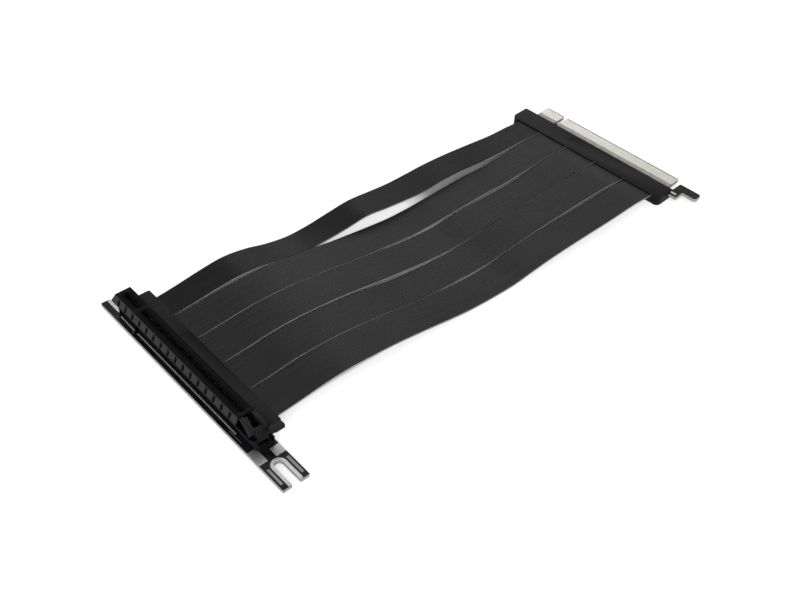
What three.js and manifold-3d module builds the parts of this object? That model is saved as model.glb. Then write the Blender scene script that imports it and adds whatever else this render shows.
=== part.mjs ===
// Riser cable for a graphics card: a sixteen-lane card slot on a small board, five flat
// ribbons, and an edge plug on a second board. Millimetres, +Z up, lying on Z = 0.
// X runs along the slot, Y runs along the ribbons from the slot to the plug.
import * as THREE from "three";
import { mergeGeometries, mergeVertices } from "three/addons/utils/BufferGeometryUtils.js";
import Module from "manifold-3d";

const wasm = await Module();
wasm.setup();

// Clearances
const SEAT_GAP = 0.2; // between a piece and what it is seated on or moulded round
const LATCH_GAP = 0.3; // round the moving latch

// Card connector standard: contacts, key and tongue lengths
const CONTACT_PITCH = 1;
const SHORT_CONTACTS = 11;
const LONG_CONTACTS = 71;
const KEY_WIDTH = 1.8; // wall between the short and the long cavity of the slot
const KEY_MARGIN = 0.6; // from the key wall to the next contact
const OUTER_MARGIN = 1.05; // from a cavity's outer end to the next contact
const CAVITY_PLAY = 0.5; // how much longer a cavity is than the tongue that enters it

// Slot housing, from its left end and its centreline, above its board
const SLOT_HEIGHT = 11.25;
const SLOT_TOP_HALF = 3.6;
const SLOT_BODY_HALF = 3.4;
const SLOT_END_WALL = 1.95;
const SLOT_FAR_WALL = 1.35;
const GROOVE_WIDTH = 1.9;
const GROOVE_FLOOR = 2.15;
const CHAMBER_WIDTH = 0.6;
const CHAMBER_HALF = 2.3; // from the centreline to the back of a contact chamber

// Flared skirt round the top of the slot, with its slits
const SKIRT_DEPTH = 3.65;
const SKIRT_FLARE = 1.6;
const SKIRT_END_FLARE = 1.45;
const SKIRT_WALL = 0.8;
const LIP_RADIUS = 0.38;
const SLIT_PITCH = 5;
const SLIT_FIRST = 3.7;
const SLIT_WIDTH = 0.9;
const SLIT_LENGTH = 2.8;

// Latch bay at the right end of the slot
const BAY_LENGTH = 11.3;
const BAY_NEAR_FOOT = 3;
const BAY_FAR_FOOT = 4.9;
const BAY_WALL = 0.8;
const BAY_FLOOR = 2.5;
const BAY_INNER_HALF = 2.6;
const BAY_CORNER = 2.6;
const BAY_END_HEIGHT = 4.2;
const BAY_FAR_HEIGHT = 4.8;
const BAY_EDGE = 0.3; // radius of the bay's other corners
const BAY_WINDOWS = [ // openings in the bay's end wall: near side, far side, depth behind the wall
  [0.6, 2.4, 0.5],
  [3.2, 4.4, 0.9],
];

// Rocking latch
const PIVOT_FROM_BAY = 7.1; // pivot axis from the end of the slot's body
const PIVOT_HEIGHT = 4.2;
const PIVOT_RADIUS = 0.9;
const BOSS_LENGTH = 1.2;
const HUB_RADIUS = 1.4;
const CARD_HOLE_HALF = 1.86;
const CHEEK_LENGTH = 8.2;
const CHEEK_HEIGHT = 2.7;
const CHEEK_TIP = 0.2;
const LEVER_DROP = 1.25; // top of the lever below the top of the slot
const LEVER_TOP_LENGTH = 1;
const GRIP_RUN = 0.6; // steps down the back of the lever
const GRIP_RISE = 0.8;
const NIB_LENGTH = 3;
const NIB_HEIGHT = 1.5;
const TAB_THICKNESS = 1.3;
const TAB_DROP = 3.25; // top of the finger tab below the top of the slot
const TAB_REACH = 9.9;
const TAB_LEFT = 1.5; // sides of the tab, from the pivot axis
const TAB_RIGHT = 4.8;
const TAB_CORNER = 0.9;

// Slot board
const BOARD_THICKNESS = 1.6;
const BOARD_HALF = 6.3;
const BOARD_PAST_SLOT = 10.1; // board beyond the slot's left end
const BOARD_PAST_BAY = 19.9; // board beyond the latch bay
const BOARD_CORNER = 0.8;
const NOTCH_HALF = 1.9; // screw notch in each end of the board
const LEFT_NOTCH_LENGTH = 10.3;
const RIGHT_NOTCH_LENGTH = 12.7;
const LAND_MARGIN = 0.15; // board left bare between a notch and its plated land
const LAND_WIDTH = 1.35;
const LAND_HEIGHT = 0.08;
const BOARD_INSET = 1.4; // moulding over each end of a soldering tongue
const TONGUE_INSET = 2.2; // moulding behind the slot board's soldering edge

// Moulding over the ribbons' ends at the slot
const SOCKET_MOULD_LEFT = -2.4;
const SOCKET_MOULD_PAST_SLOT = 4.5; // moulding beyond the slot's right end
const SOCKET_MOULD_FRONT = 5.7;
const SOCKET_MOULD_BACK = 13.2;
const SOCKET_MOULD_TOP = 2;
const SOCKET_MOULD_UNDER = 1.7; // moulding below the board
const MOULD_CORNER = 0.9;
const MOULD_WALL = 0.5; // in front of the solder, above the board

// Plug board, from the outer corner of its short tongue, tongue tips at zero
const TONGUE_NOTCH = 1.9;
const TONGUE_LEAD = 0.5; // bevel on the corners of the tongues
const TONGUE_DEPTH = 8.9;
const NOTCH_DEPTH = 8;
const HOOK_GAP = 2.8; // between the long tongue and the tail hook
const HOOK_STEM_WIDTH = 4.7;
const HOOK_LENGTH = 7.5; // hook beyond its stem
const HOOK_CORNER = 1.3;
const HOOK_TOP = 2.6;
const HOOK_UNDER = 7.7;
const STEM_FOOT = 13.2;

// Moulding over the ribbons' ends at the plug
const PLUG_MOULD_LEFT = -6.1;
const PLUG_MOULD_PAST_TONGUE = 3.5; // moulding beyond the long tongue
const PLUG_MOULD_FRONT = 11.1;
const PLUG_MOULD_BACK = 22.1;
const PLUG_MOULD_TOP = 1.9;
const PLUG_MOULD_UNDER = 1.45;
const PLUG_MOULD_CORNER = 2.5;
const PLUG_BOARD_INSET = 0.6; // moulding in front of the wide part of the plug's board

// Where the plug lies when the ribbons are laid out
const PLUG_X = 6.7;
const PLUG_Y = 253.6;
const PLUG_TURN = 3.7; // degrees

// Shallow recess for a label in each moulding
const LABEL_LENGTH = 30;
const LABEL_DEPTH = 0.15;
const SLOT_LABEL_LEFT = 29.4;
const SLOT_LABEL_FRONT = 1.6; // margins to the moulding's edges
const SLOT_LABEL_BACK = 0.6;
const PLUG_LABEL_LEFT = 27.3;
const PLUG_LABEL_FRONT = 1.5;
const PLUG_LABEL_BACK = 4.8;

// Ribbons
const RIBBON_THICKNESS = 1.2;
const RIBBON_GAP = 0.3; // between neighbours, and between the ribbon and its neighbour's edge
const RIBBON_EDGES_AT_SLOT = [1.8, 16.7, 34.4, 52.8, 71.3, 89.8];
const RIBBON_EDGES_AT_PLUG = [-2.2, 12.7, 30.1, 48, 65.9, 83.1];
const RIBBON_HOLD = 3.8; // length of ribbon inside a moulding
const RIBBON_STEPS = 44;
// Height of each ribbon's upper face at even steps from one moulding to the other: the
// route that the ribbons take when they are laid on a table. The first ribbon is
// twisted, so its two edges differ.
const RIBBON_ROUTES = [
  {
    left: [4.7, 6.1, 8, 9.3, 8.1, 5.3, 3.9, 4.8, 6.8, 8.6, 8.3, 7.9, 8.4, 9.1, 9, 8.3, 7.2, 6, 5.5, 4.5],
    right: [4.7, 5.8, 7.2, 8.2, 7.5, 5.7, 4.5, 4.9, 6.3, 8.1, 7.3, 6.6, 6.3, 7.4, 7.5, 6.7, 6.3, 6, 5.7, 4.5],
  },
  { left: [4.7, 5.6, 6.9, 7.5, 7.4, 6.5, 5.5, 4, 3, 2.1, 1.5, 1.9, 2.8, 3.7, 4.5, 4.2, 4.8, 5.3, 5.7, 4.5] },
  { left: [4.7, 5.6, 7, 7.7, 7.5, 6.8, 5.6, 4.2, 3, 1.8, 1.3, 1.3, 2.5, 3.2, 3.1, 3.3, 3.9, 5.4, 6, 4.5] },
  { left: [4.7, 5.5, 6.9, 7.4, 7.2, 6.2, 5, 3.2, 2, 1.4, 1.3, 1.6, 3, 4.5, 5.6, 6.4, 6.8, 6.9, 6.4, 4.5] },
  { left: [4.7, 5.6, 7, 7.8, 7.4, 6.8, 5.6, 4.1, 2.5, 1.5, 1.3, 1.7, 3.4, 4.7, 5.4, 5.7, 5.7, 5.8, 5.7, 4.5] },
];

// Conductor ends soldered to each board
const CONDUCTOR_PITCH = 3;
const CONDUCTOR_WIDTH = 0.9;
const CONDUCTOR_THICKNESS = 0.35;
const CONDUCTOR_SLOPE = 0.9; // length of the bend down to the pad
const GROUND_BAR = 0.7;
const GROUND_BAR_OFFSET = 1.4; // from the ribbon's end
const GROUND_BAR_RISE = 0.2; // above the conductors
const FOOT_LENGTH = 2;

// Places that follow from the sizes above
const PLUG_BOARD_TOP = PLUG_MOULD_UNDER + BOARD_THICKNESS;
const SLOT_BOARD_TOP = SOCKET_MOULD_UNDER + BOARD_THICKNESS;
const SHORT_CAVITY = (SHORT_CONTACTS - 1) * CONTACT_PITCH + KEY_MARGIN + OUTER_MARGIN;
const LONG_CAVITY = (LONG_CONTACTS - 1) * CONTACT_PITCH + KEY_MARGIN + OUTER_MARGIN;
const KEY_LEFT = SLOT_END_WALL + SHORT_CAVITY;
const LONG_CAVITY_LEFT = KEY_LEFT + KEY_WIDTH;
const LONG_CAVITY_RIGHT = LONG_CAVITY_LEFT + LONG_CAVITY;
const SLOT_LENGTH = LONG_CAVITY_RIGHT + SLOT_FAR_WALL;
const FIRST_CONTACT = SLOT_END_WALL + OUTER_MARGIN;
const FIRST_LONG_CONTACT = LONG_CAVITY_LEFT + KEY_MARGIN;
const SLIT_COUNT = 1 + Math.floor((SLOT_LENGTH - 2 * SLIT_FIRST) / SLIT_PITCH);
const SKIRT_BOTTOM = SLOT_HEIGHT - SKIRT_DEPTH;
const BAY_RIGHT = SLOT_LENGTH + BAY_LENGTH;
const PIVOT_X = SLOT_LENGTH + PIVOT_FROM_BAY;
const LEVER_TOP = SLOT_HEIGHT - LEVER_DROP;
const TAB_TOP = SLOT_HEIGHT - TAB_DROP;
const BOARD_LEFT = -BOARD_PAST_SLOT;
const BOARD_RIGHT = BAY_RIGHT + BOARD_PAST_BAY;
const LEFT_NOTCH_END = BOARD_LEFT + LEFT_NOTCH_LENGTH;
const RIGHT_NOTCH_END = BOARD_RIGHT - RIGHT_NOTCH_LENGTH;
const SOCKET_MOULD_RIGHT = SLOT_LENGTH + SOCKET_MOULD_PAST_SLOT;
const TONGUE_LEFT = SOCKET_MOULD_LEFT + BOARD_INSET;
const TONGUE_RIGHT = SOCKET_MOULD_RIGHT - BOARD_INSET;
const TONGUE_END = SOCKET_MOULD_BACK - TONGUE_INSET;
const SHORT_TONGUE = SHORT_CAVITY - CAVITY_PLAY;
const LONG_TONGUE = LONG_CAVITY - CAVITY_PLAY;
const LONG_TONGUE_LEFT = SHORT_TONGUE + TONGUE_NOTCH;
const LONG_TONGUE_RIGHT = LONG_TONGUE_LEFT + LONG_TONGUE;
const HOOK_STEM_LEFT = LONG_TONGUE_RIGHT + HOOK_GAP;
const HOOK_STEM_RIGHT = HOOK_STEM_LEFT + HOOK_STEM_WIDTH;
const HOOK_END = HOOK_STEM_RIGHT + HOOK_LENGTH;
const PLUG_MOULD_RIGHT = LONG_TONGUE_RIGHT + PLUG_MOULD_PAST_TONGUE;
const PLUG_BOARD_LEFT = PLUG_MOULD_LEFT + BOARD_INSET;
const PLUG_BOARD_RIGHT = PLUG_MOULD_RIGHT - BOARD_INSET;
const PLUG_BOARD_BACK = PLUG_MOULD_BACK - RIBBON_HOLD - 1;
const RIBBON_TOP_AT_SLOT = RIBBON_ROUTES[0].left[0];
const CURVE_SIDES = 6;

// Turns one closed geometry, or several that lie apart, into a solid.
function solidOf(...geometries) {
  const bare = geometries.map((geometry) => {
    const copy = geometry.clone();
    copy.deleteAttribute("normal");
    copy.deleteAttribute("uv");
    return mergeVertices(copy, 1e-4);
  });
  const joined = mergeGeometries(bare);
  return new wasm.Manifold(new wasm.Mesh({
    numProp: 3,
    vertProperties: joined.attributes.position.array,
    triVerts: new Uint32Array(joined.index.array),
  }));
}

// Turns a solid back into a geometry.
function geometryOf(solid) {
  const mesh = solid.getMesh();
  const geometry = new THREE.BufferGeometry();
  geometry.setAttribute("position", new THREE.BufferAttribute(mesh.vertProperties, 3));
  geometry.setIndex(new THREE.BufferAttribute(mesh.triVerts, 1));
  geometry.computeVertexNormals();
  return geometry;
}

function block(x0, x1, y0, y1, z0, z1) {
  const box = new THREE.BoxGeometry(x1 - x0, y1 - y0, z1 - z0);
  return box.translate((x0 + x1) / 2, (y0 + y1) / 2, (z0 + z1) / 2);
}

// A tapered block: a rectangle in plan at each of two heights.
function taperedBlock(low, high) {
  const box = new THREE.BoxGeometry(2, 2, 2);
  const position = box.attributes.position;
  for (let i = 0; i < position.count; i += 1) {
    const level = position.getZ(i) > 0 ? high : low;
    const x = position.getX(i) > 0 ? level.x1 : level.x0;
    const y = position.getY(i) > 0 ? level.y1 : level.y0;
    position.setXYZ(i, x, y, level.z);
  }
  return box;
}

function shapeOf(points) {
  return new THREE.Shape(points.map(([a, b]) => new THREE.Vector2(a, b)));
}

function extrude(shape, depth) {
  return new THREE.ExtrudeGeometry(shape, { depth, bevelEnabled: false, curveSegments: CURVE_SIDES });
}

// An outline in plan, raised from z0 to z1.
function raised(shape, z0, z1) {
  return extrude(shape, z1 - z0).translate(0, 0, z0);
}

// An outline of [y, z] points, drawn out from x0 to x1.
function alongX(points, x0, x1) {
  const turn = new THREE.Matrix4().makeBasis(
    new THREE.Vector3(0, 1, 0),
    new THREE.Vector3(0, 0, 1),
    new THREE.Vector3(1, 0, 0),
  );
  return extrude(shapeOf(points), x1 - x0).applyMatrix4(turn).translate(x0, 0, 0);
}

// An outline in X and Z, drawn out from y0 to y1.
function alongY(shape, y0, y1) {
  const turn = new THREE.Matrix4().makeBasis(
    new THREE.Vector3(1, 0, 0),
    new THREE.Vector3(0, 0, 1),
    new THREE.Vector3(0, -1, 0),
  );
  return extrude(shape, y1 - y0).applyMatrix4(turn).translate(0, y1, 0);
}

// A round bar between two points.
function rod(from, to, radius, sides = 10) {
  const span = new THREE.Vector3().subVectors(to, from);
  const bar = new THREE.CylinderGeometry(radius, radius, span.length(), sides);
  const turn = new THREE.Quaternion().setFromUnitVectors(new THREE.Vector3(0, 1, 0), span.clone().normalize());
  return bar.applyQuaternion(turn).translate((from.x + to.x) / 2, (from.y + to.y) / 2, (from.z + to.z) / 2);
}

// Joins rings of points, all with as many points and the same turn, into one closed skin.
function loft(rings) {
  const count = rings[0].length;
  const positions = rings.flat().flatMap((point) => [point.x, point.y, point.z]);
  const faces = [];
  for (let ring = 0; ring + 1 < rings.length; ring += 1) {
    for (let i = 0; i < count; i += 1) {
      const a = ring * count + i;
      const b = ring * count + (i + 1) % count;
      faces.push(a, b, b + count, a, b + count, a + count);
    }
  }
  const last = (rings.length - 1) * count;
  for (let i = 1; i + 1 < count; i += 1) {
    faces.push(0, i + 1, i);
    faces.push(last, last + i, last + i + 1);
  }
  const geometry = new THREE.BufferGeometry();
  geometry.setAttribute("position", new THREE.Float32BufferAttribute(positions, 3));
  geometry.setIndex(faces);
  return geometry;
}

// A rectangle in plan with a radius at each corner: near left, near right, far right, far left.
function roundedPlan(x0, x1, y0, y1, radii) {
  const [nearLeft, nearRight, farRight, farLeft] = radii;
  const quarter = Math.PI / 2;
  const shape = new THREE.Shape();
  shape.absarc(x0 + nearLeft, y0 + nearLeft, nearLeft, 2 * quarter, 3 * quarter);
  shape.absarc(x1 - nearRight, y0 + nearRight, nearRight, 3 * quarter, 4 * quarter);
  shape.absarc(x1 - farRight, y1 - farRight, farRight, 0, quarter);
  shape.absarc(x0 + farLeft, y1 - farLeft, farLeft, quarter, 2 * quarter);
  return shape;
}

function planRing(shape, z) {
  return shape.extractPoints(CURVE_SIDES).shape.map((point) => new THREE.Vector3(point.x, point.y, z));
}

// The contacts' places along the slot.
function contactPlaces() {
  const places = [];
  for (let i = 0; i < SHORT_CONTACTS; i += 1) {
    places.push(FIRST_CONTACT + i * CONTACT_PITCH);
  }
  for (let i = 0; i < LONG_CONTACTS; i += 1) {
    places.push(FIRST_LONG_CONTACT + i * CONTACT_PITCH);
  }
  return places;
}

// Half the width of the skirt's outer face at a height.
function skirtHalf(z) {
  return SLOT_TOP_HALF + SKIRT_FLARE * (SLOT_HEIGHT - z) / SKIRT_DEPTH;
}

// How far the skirt reaches past the left end at a height.
function skirtEnd(z) {
  return SKIRT_END_FLARE * (SLOT_HEIGHT - z) / SKIRT_DEPTH;
}

// One rectangle in plan of the skirt, drawn in by an inset.
function skirtLevel(z, inset) {
  return {
    x0: inset - skirtEnd(z),
    x1: SLOT_LENGTH,
    y0: inset - skirtHalf(z),
    y1: skirtHalf(z) - inset,
    z,
  };
}

// Both long cavities of the card groove, with a chamber on each side for each contact.
function cardGroove() {
  const half = GROOVE_WIDTH / 2;
  const above = SLOT_HEIGHT + 1;
  const cavities = [
    block(SLOT_END_WALL, KEY_LEFT, -half, half, GROOVE_FLOOR, above),
    block(LONG_CAVITY_LEFT, LONG_CAVITY_RIGHT, -half, half, GROOVE_FLOOR, above),
  ];
  const chambers = contactPlaces().map((x) => block(
    x - CHAMBER_WIDTH / 2,
    x + CHAMBER_WIDTH / 2,
    -CHAMBER_HALF,
    CHAMBER_HALF,
    GROOVE_FLOOR,
    above,
  ));
  return solidOf(...cavities).add(solidOf(...chambers));
}

// The slits that run down the skirt, on one side of the slot.
function skirtSlits(side) {
  const slope = new THREE.Vector3(0, side * SKIRT_FLARE, -SKIRT_DEPTH).normalize();
  const across = new THREE.Vector3(1, 0, 0);
  const outward = new THREE.Vector3().crossVectors(across, slope);
  const middle = SLOT_HEIGHT - SKIRT_DEPTH * 0.54;
  const straight = SLIT_LENGTH / 2 - SLIT_WIDTH / 2;
  const outline = new THREE.Shape();
  outline.absarc(0, straight, SLIT_WIDTH / 2, 0, Math.PI);
  outline.absarc(0, -straight, SLIT_WIDTH / 2, Math.PI, 2 * Math.PI);
  const cuts = [];
  for (let i = 0; i < SLIT_COUNT; i += 1) {
    const place = new THREE.Matrix4().makeBasis(across, slope, outward);
    place.setPosition(SLIT_FIRST + i * SLIT_PITCH, side * skirtHalf(middle), middle);
    const cut = extrude(outline, 2 * SLIT_LENGTH).translate(0, 0, -SLIT_LENGTH);
    cuts.push(cut.applyMatrix4(place));
  }
  return solidOf(...cuts);
}

// The skirt: a thin flared wall with a rounded lip, slit along both sides.
function skirt() {
  const innerTop = SLOT_HEIGHT - SKIRT_DEPTH * (SLOT_BODY_HALF + SKIRT_WALL - SLOT_TOP_HALF) / SKIRT_FLARE;
  const below = SKIRT_BOTTOM - 1;
  const hollow = taperedBlock(skirtLevel(below, SKIRT_WALL), skirtLevel(innerTop, SKIRT_WALL));
  let wall = solidOf(taperedBlock(skirtLevel(SKIRT_BOTTOM, 0), skirtLevel(SLOT_HEIGHT, 0)));
  const y = skirtHalf(SKIRT_BOTTOM) - LIP_RADIUS;
  const x = LIP_RADIUS - skirtEnd(SKIRT_BOTTOM);
  const corners = [-1, 1].map((side) => new THREE.Vector3(x, side * y, SKIRT_BOTTOM));
  wall = wall.add(solidOf(rod(corners[0], corners[1], LIP_RADIUS)));
  for (const corner of corners) {
    const end = new THREE.Vector3(SLOT_LENGTH, corner.y, corner.z);
    wall = wall.add(solidOf(rod(corner, end, LIP_RADIUS)));
    wall = wall.add(solidOf(new THREE.SphereGeometry(LIP_RADIUS, 10, 8).translate(x, corner.y, corner.z)));
  }
  return wall.subtract(solidOf(hollow)).subtract(skirtSlits(-1)).subtract(skirtSlits(1));
}

// The bay that carries the latch: a tub whose near wall leans out to the skirt's lip.
function latchBay() {
  const left = SLOT_LENGTH - SLOT_FAR_WALL / 2;
  const corners = [BAY_EDGE, BAY_CORNER, BAY_EDGE, BAY_EDGE];
  const rim = skirtHalf(SKIRT_BOTTOM);
  const foot = roundedPlan(left, BAY_RIGHT, -BAY_NEAR_FOOT, BAY_FAR_FOOT, corners);
  const brim = roundedPlan(left, BAY_RIGHT, -rim, rim, corners);
  const tub = solidOf(loft([planRing(foot, SEAT_GAP), planRing(brim, SKIRT_BOTTOM)]));
  const inner = BAY_RIGHT - BAY_WALL;
  const mouth = { x0: SLOT_LENGTH, x1: inner, y0: BAY_WALL - rim, y1: BAY_INNER_HALF, z: SKIRT_BOTTOM + 0.1 };
  const floor = { x0: SLOT_LENGTH, x1: inner, y0: -BAY_INNER_HALF, y1: BAY_INNER_HALF, z: BAY_FLOOR };
  const cuts = [
    taperedBlock(floor, mouth),
    block(inner - 1, BAY_RIGHT + 1, -BAY_INNER_HALF, rim + 1, BAY_END_HEIGHT, SLOT_HEIGHT),
    block(PIVOT_X - 0.2, BAY_RIGHT + 1, BAY_INNER_HALF - 1, rim + 1, BAY_FAR_HEIGHT, SLOT_HEIGHT),
    ...BAY_WINDOWS.map(([near, far, depth]) => block(
      inner - depth,
      BAY_RIGHT + 1,
      near,
      far,
      BAY_FLOOR,
      SLOT_HEIGHT,
    )),
    rod(
      new THREE.Vector3(PIVOT_X, -BAY_INNER_HALF - BOSS_LENGTH, PIVOT_HEIGHT),
      new THREE.Vector3(PIVOT_X, BAY_INNER_HALF + BOSS_LENGTH, PIVOT_HEIGHT),
      PIVOT_RADIUS + LATCH_GAP,
      16,
    ),
  ];
  return cuts.reduce((body, cut) => body.subtract(solidOf(cut)), tub);
}

function slotHousing() {
  const core = block(SKIRT_WALL / 2, SLOT_LENGTH, -SLOT_BODY_HALF, SLOT_BODY_HALF, SEAT_GAP, SLOT_HEIGHT);
  const body = skirt().add(solidOf(core)).add(latchBay());
  return geometryOf(body.subtract(cardGroove()));
}

// One side wall of the latch's card hole. Its outer face flares as the skirt does, and its
// underside curves up to a thin tip over the end of the slot.
function latchCheek(side) {
  const left = SLOT_LENGTH + LATCH_GAP + 0.4;
  const right = left + CHEEK_LENGTH;
  const low = SLOT_HEIGHT - CHEEK_HEIGHT;
  const section = [
    [CARD_HOLE_HALF, SLOT_HEIGHT],
    [SLOT_TOP_HALF, SLOT_HEIGHT],
    [skirtHalf(low), low],
    [CARD_HOLE_HALF, low],
  ].map(([y, z]) => [side * y, z]);
  const horn = new THREE.Shape();
  horn.moveTo(left, SLOT_HEIGHT + 1);
  horn.lineTo(left, SLOT_HEIGHT - CHEEK_TIP);
  horn.quadraticCurveTo(left + CHEEK_LENGTH / 2, SLOT_HEIGHT - CHEEK_HEIGHT / 2, right - GRIP_RISE, low);
  horn.lineTo(right, low);
  horn.lineTo(right, SLOT_HEIGHT + 1);
  const reach = skirtHalf(low) + 1;
  return solidOf(alongX(section, left, right + 1)).intersect(solidOf(alongY(horn, -reach, reach)));
}

// The rocking latch: hub with pivot bosses, lever, finger tab, cheeks and the nib that holds the card.
function latch() {
  const half = BAY_INNER_HALF - LATCH_GAP;
  const right = BAY_RIGHT - 0.1;
  const grip = TAB_TOP - TAB_THICKNESS;
  const lever = new THREE.Shape();
  lever.absarc(PIVOT_X, PIVOT_HEIGHT, HUB_RADIUS, Math.PI, 2 * Math.PI);
  lever.lineTo(PIVOT_X + HUB_RADIUS + 0.2, PIVOT_HEIGHT + GRIP_RUN);
  lever.lineTo(right, grip - GRIP_RISE);
  lever.lineTo(right, grip - 0.2);
  for (let step = 1; step <= 3; step += 1) {
    lever.lineTo(right - step * GRIP_RUN, grip + (step - 1) * GRIP_RISE);
    lever.lineTo(right - step * GRIP_RUN, grip + (step - 0.2) * GRIP_RISE);
  }
  lever.lineTo(PIVOT_X + 2 * LEVER_TOP_LENGTH, LEVER_TOP - GRIP_RISE);
  lever.lineTo(PIVOT_X + LEVER_TOP_LENGTH, LEVER_TOP);
  lever.lineTo(PIVOT_X, LEVER_TOP);
  lever.lineTo(PIVOT_X - HUB_RADIUS / 3, LEVER_TOP - 2 * GRIP_RISE);
  lever.lineTo(PIVOT_X - HUB_RADIUS, TAB_TOP);
  const nibRight = PIVOT_X - 2 * HUB_RADIUS;
  const nib = [
    [nibRight - NIB_LENGTH, SLOT_HEIGHT - CHEEK_TIP],
    [nibRight, SLOT_HEIGHT - CHEEK_TIP - NIB_HEIGHT / 2],
    [nibRight + GRIP_RUN, SLOT_HEIGHT - GRIP_RUN - NIB_HEIGHT],
    [nibRight - NIB_LENGTH / 2, SLOT_HEIGHT - GRIP_RUN - NIB_HEIGHT],
  ];
  const tab = new THREE.Shape();
  tab.moveTo(PIVOT_X + TAB_LEFT - 0.3, half - 0.5);
  tab.lineTo(PIVOT_X + TAB_LEFT, TAB_REACH - TAB_CORNER);
  tab.quadraticCurveTo(PIVOT_X + TAB_LEFT + 0.1, TAB_REACH, PIVOT_X + TAB_LEFT + TAB_CORNER, TAB_REACH);
  tab.lineTo(PIVOT_X + TAB_RIGHT - TAB_CORNER, TAB_REACH);
  tab.quadraticCurveTo(PIVOT_X + TAB_RIGHT, TAB_REACH, PIVOT_X + TAB_RIGHT, TAB_REACH - TAB_CORNER);
  tab.lineTo(PIVOT_X + TAB_RIGHT, half + 3.2);
  tab.lineTo(PIVOT_X + TAB_RIGHT - 1.4, half + 0.8);
  tab.lineTo(PIVOT_X + TAB_RIGHT - 1.4, half - 0.5);
  const boss = (side) => rod(
    new THREE.Vector3(PIVOT_X, side * (half - 0.5), PIVOT_HEIGHT),
    new THREE.Vector3(PIVOT_X, side * (half + BOSS_LENGTH), PIVOT_HEIGHT),
    PIVOT_RADIUS,
    16,
  );
  const body = solidOf(alongY(lever, -half, half))
    .add(latchCheek(-1))
    .add(latchCheek(1))
    .add(solidOf(alongY(shapeOf(nib), -CARD_HOLE_HALF - 0.2, -0.6)))
    .add(solidOf(raised(tab, TAB_TOP - TAB_THICKNESS, TAB_TOP)))
    .add(solidOf(boss(-1)))
    .add(solidOf(boss(1)));
  return geometryOf(body);
}

// The plated land round a screw notch: a thin U, open towards the end of the board.
function screwLand(centre, tip, z0, z1) {
  const reach = Math.abs(tip - centre) - BOARD_CORNER;
  const inner = NOTCH_HALF + LAND_MARGIN;
  const outer = inner + LAND_WIDTH;
  const quarter = Math.PI / 2;
  const shape = new THREE.Shape();
  shape.moveTo(reach, inner);
  shape.absarc(0, 0, inner, quarter, 3 * quarter);
  shape.lineTo(reach, -inner);
  shape.lineTo(reach, -outer);
  shape.absarc(0, 0, outer, 3 * quarter, quarter, true);
  shape.lineTo(reach, outer);
  return raised(shape, z0, z1).rotateZ(tip > centre ? 0 : Math.PI).translate(centre, 0, 0);
}

// The slot's board: a screw notch with its lands in each end, and a tongue where the ribbons
// are soldered.
function slotBoard() {
  const left = BOARD_LEFT;
  const round = BOARD_CORNER;
  const quarter = Math.PI / 2;
  const shape = new THREE.Shape();
  shape.absarc(left + round, round - BOARD_HALF, round, 2 * quarter, 3 * quarter);
  shape.absarc(BOARD_RIGHT - round, round - BOARD_HALF, round, 3 * quarter, 4 * quarter);
  shape.absarc(BOARD_RIGHT - round, -NOTCH_HALF - round, round, 0, quarter);
  shape.absarc(RIGHT_NOTCH_END + NOTCH_HALF, 0, NOTCH_HALF, 3 * quarter, quarter, true);
  shape.absarc(BOARD_RIGHT - round, NOTCH_HALF + round, round, 3 * quarter, 4 * quarter);
  shape.absarc(BOARD_RIGHT - round, BOARD_HALF - round, round, 0, quarter);
  shape.lineTo(TONGUE_RIGHT, BOARD_HALF);
  shape.lineTo(TONGUE_RIGHT, TONGUE_END);
  shape.lineTo(TONGUE_LEFT, TONGUE_END);
  shape.lineTo(TONGUE_LEFT, BOARD_HALF);
  shape.absarc(left + round, BOARD_HALF - round, round, quarter, 2 * quarter);
  shape.absarc(left + round, NOTCH_HALF + round, round, 2 * quarter, 3 * quarter);
  shape.absarc(LEFT_NOTCH_END - NOTCH_HALF, 0, NOTCH_HALF, quarter, -quarter, true);
  shape.absarc(left + round, -NOTCH_HALF - round, round, quarter, 2 * quarter);
  const under = -BOARD_THICKNESS;
  const lands = [
    [RIGHT_NOTCH_END + NOTCH_HALF, BOARD_RIGHT],
    [LEFT_NOTCH_END - NOTCH_HALF, BOARD_LEFT],
  ].flatMap(([centre, tip]) => [
    screwLand(centre, tip, under / 2, LAND_HEIGHT),
    screwLand(centre, tip, under - LAND_HEIGHT, under / 2),
  ]);
  return geometryOf(lands.reduce((board, land) => board.add(solidOf(land)), solidOf(raised(shape, under, 0))));
}

// A moulding over a board's edge, with what it is moulded round cut out of it.
function moulding(size, cuts) {
  const body = solidOf(raised(size.plan, size.bottom, size.top));
  return geometryOf(cuts.reduce((rest, cut) => rest.subtract(solidOf(cut)), body));
}

// The mouth that the five ribbons leave by, side by side.
function ribbonMouth(edges, y0, y1, z0, z1) {
  return block(edges[0] - SEAT_GAP, edges.at(-1) + SEAT_GAP, y0, y1, z0, z1);
}

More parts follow.
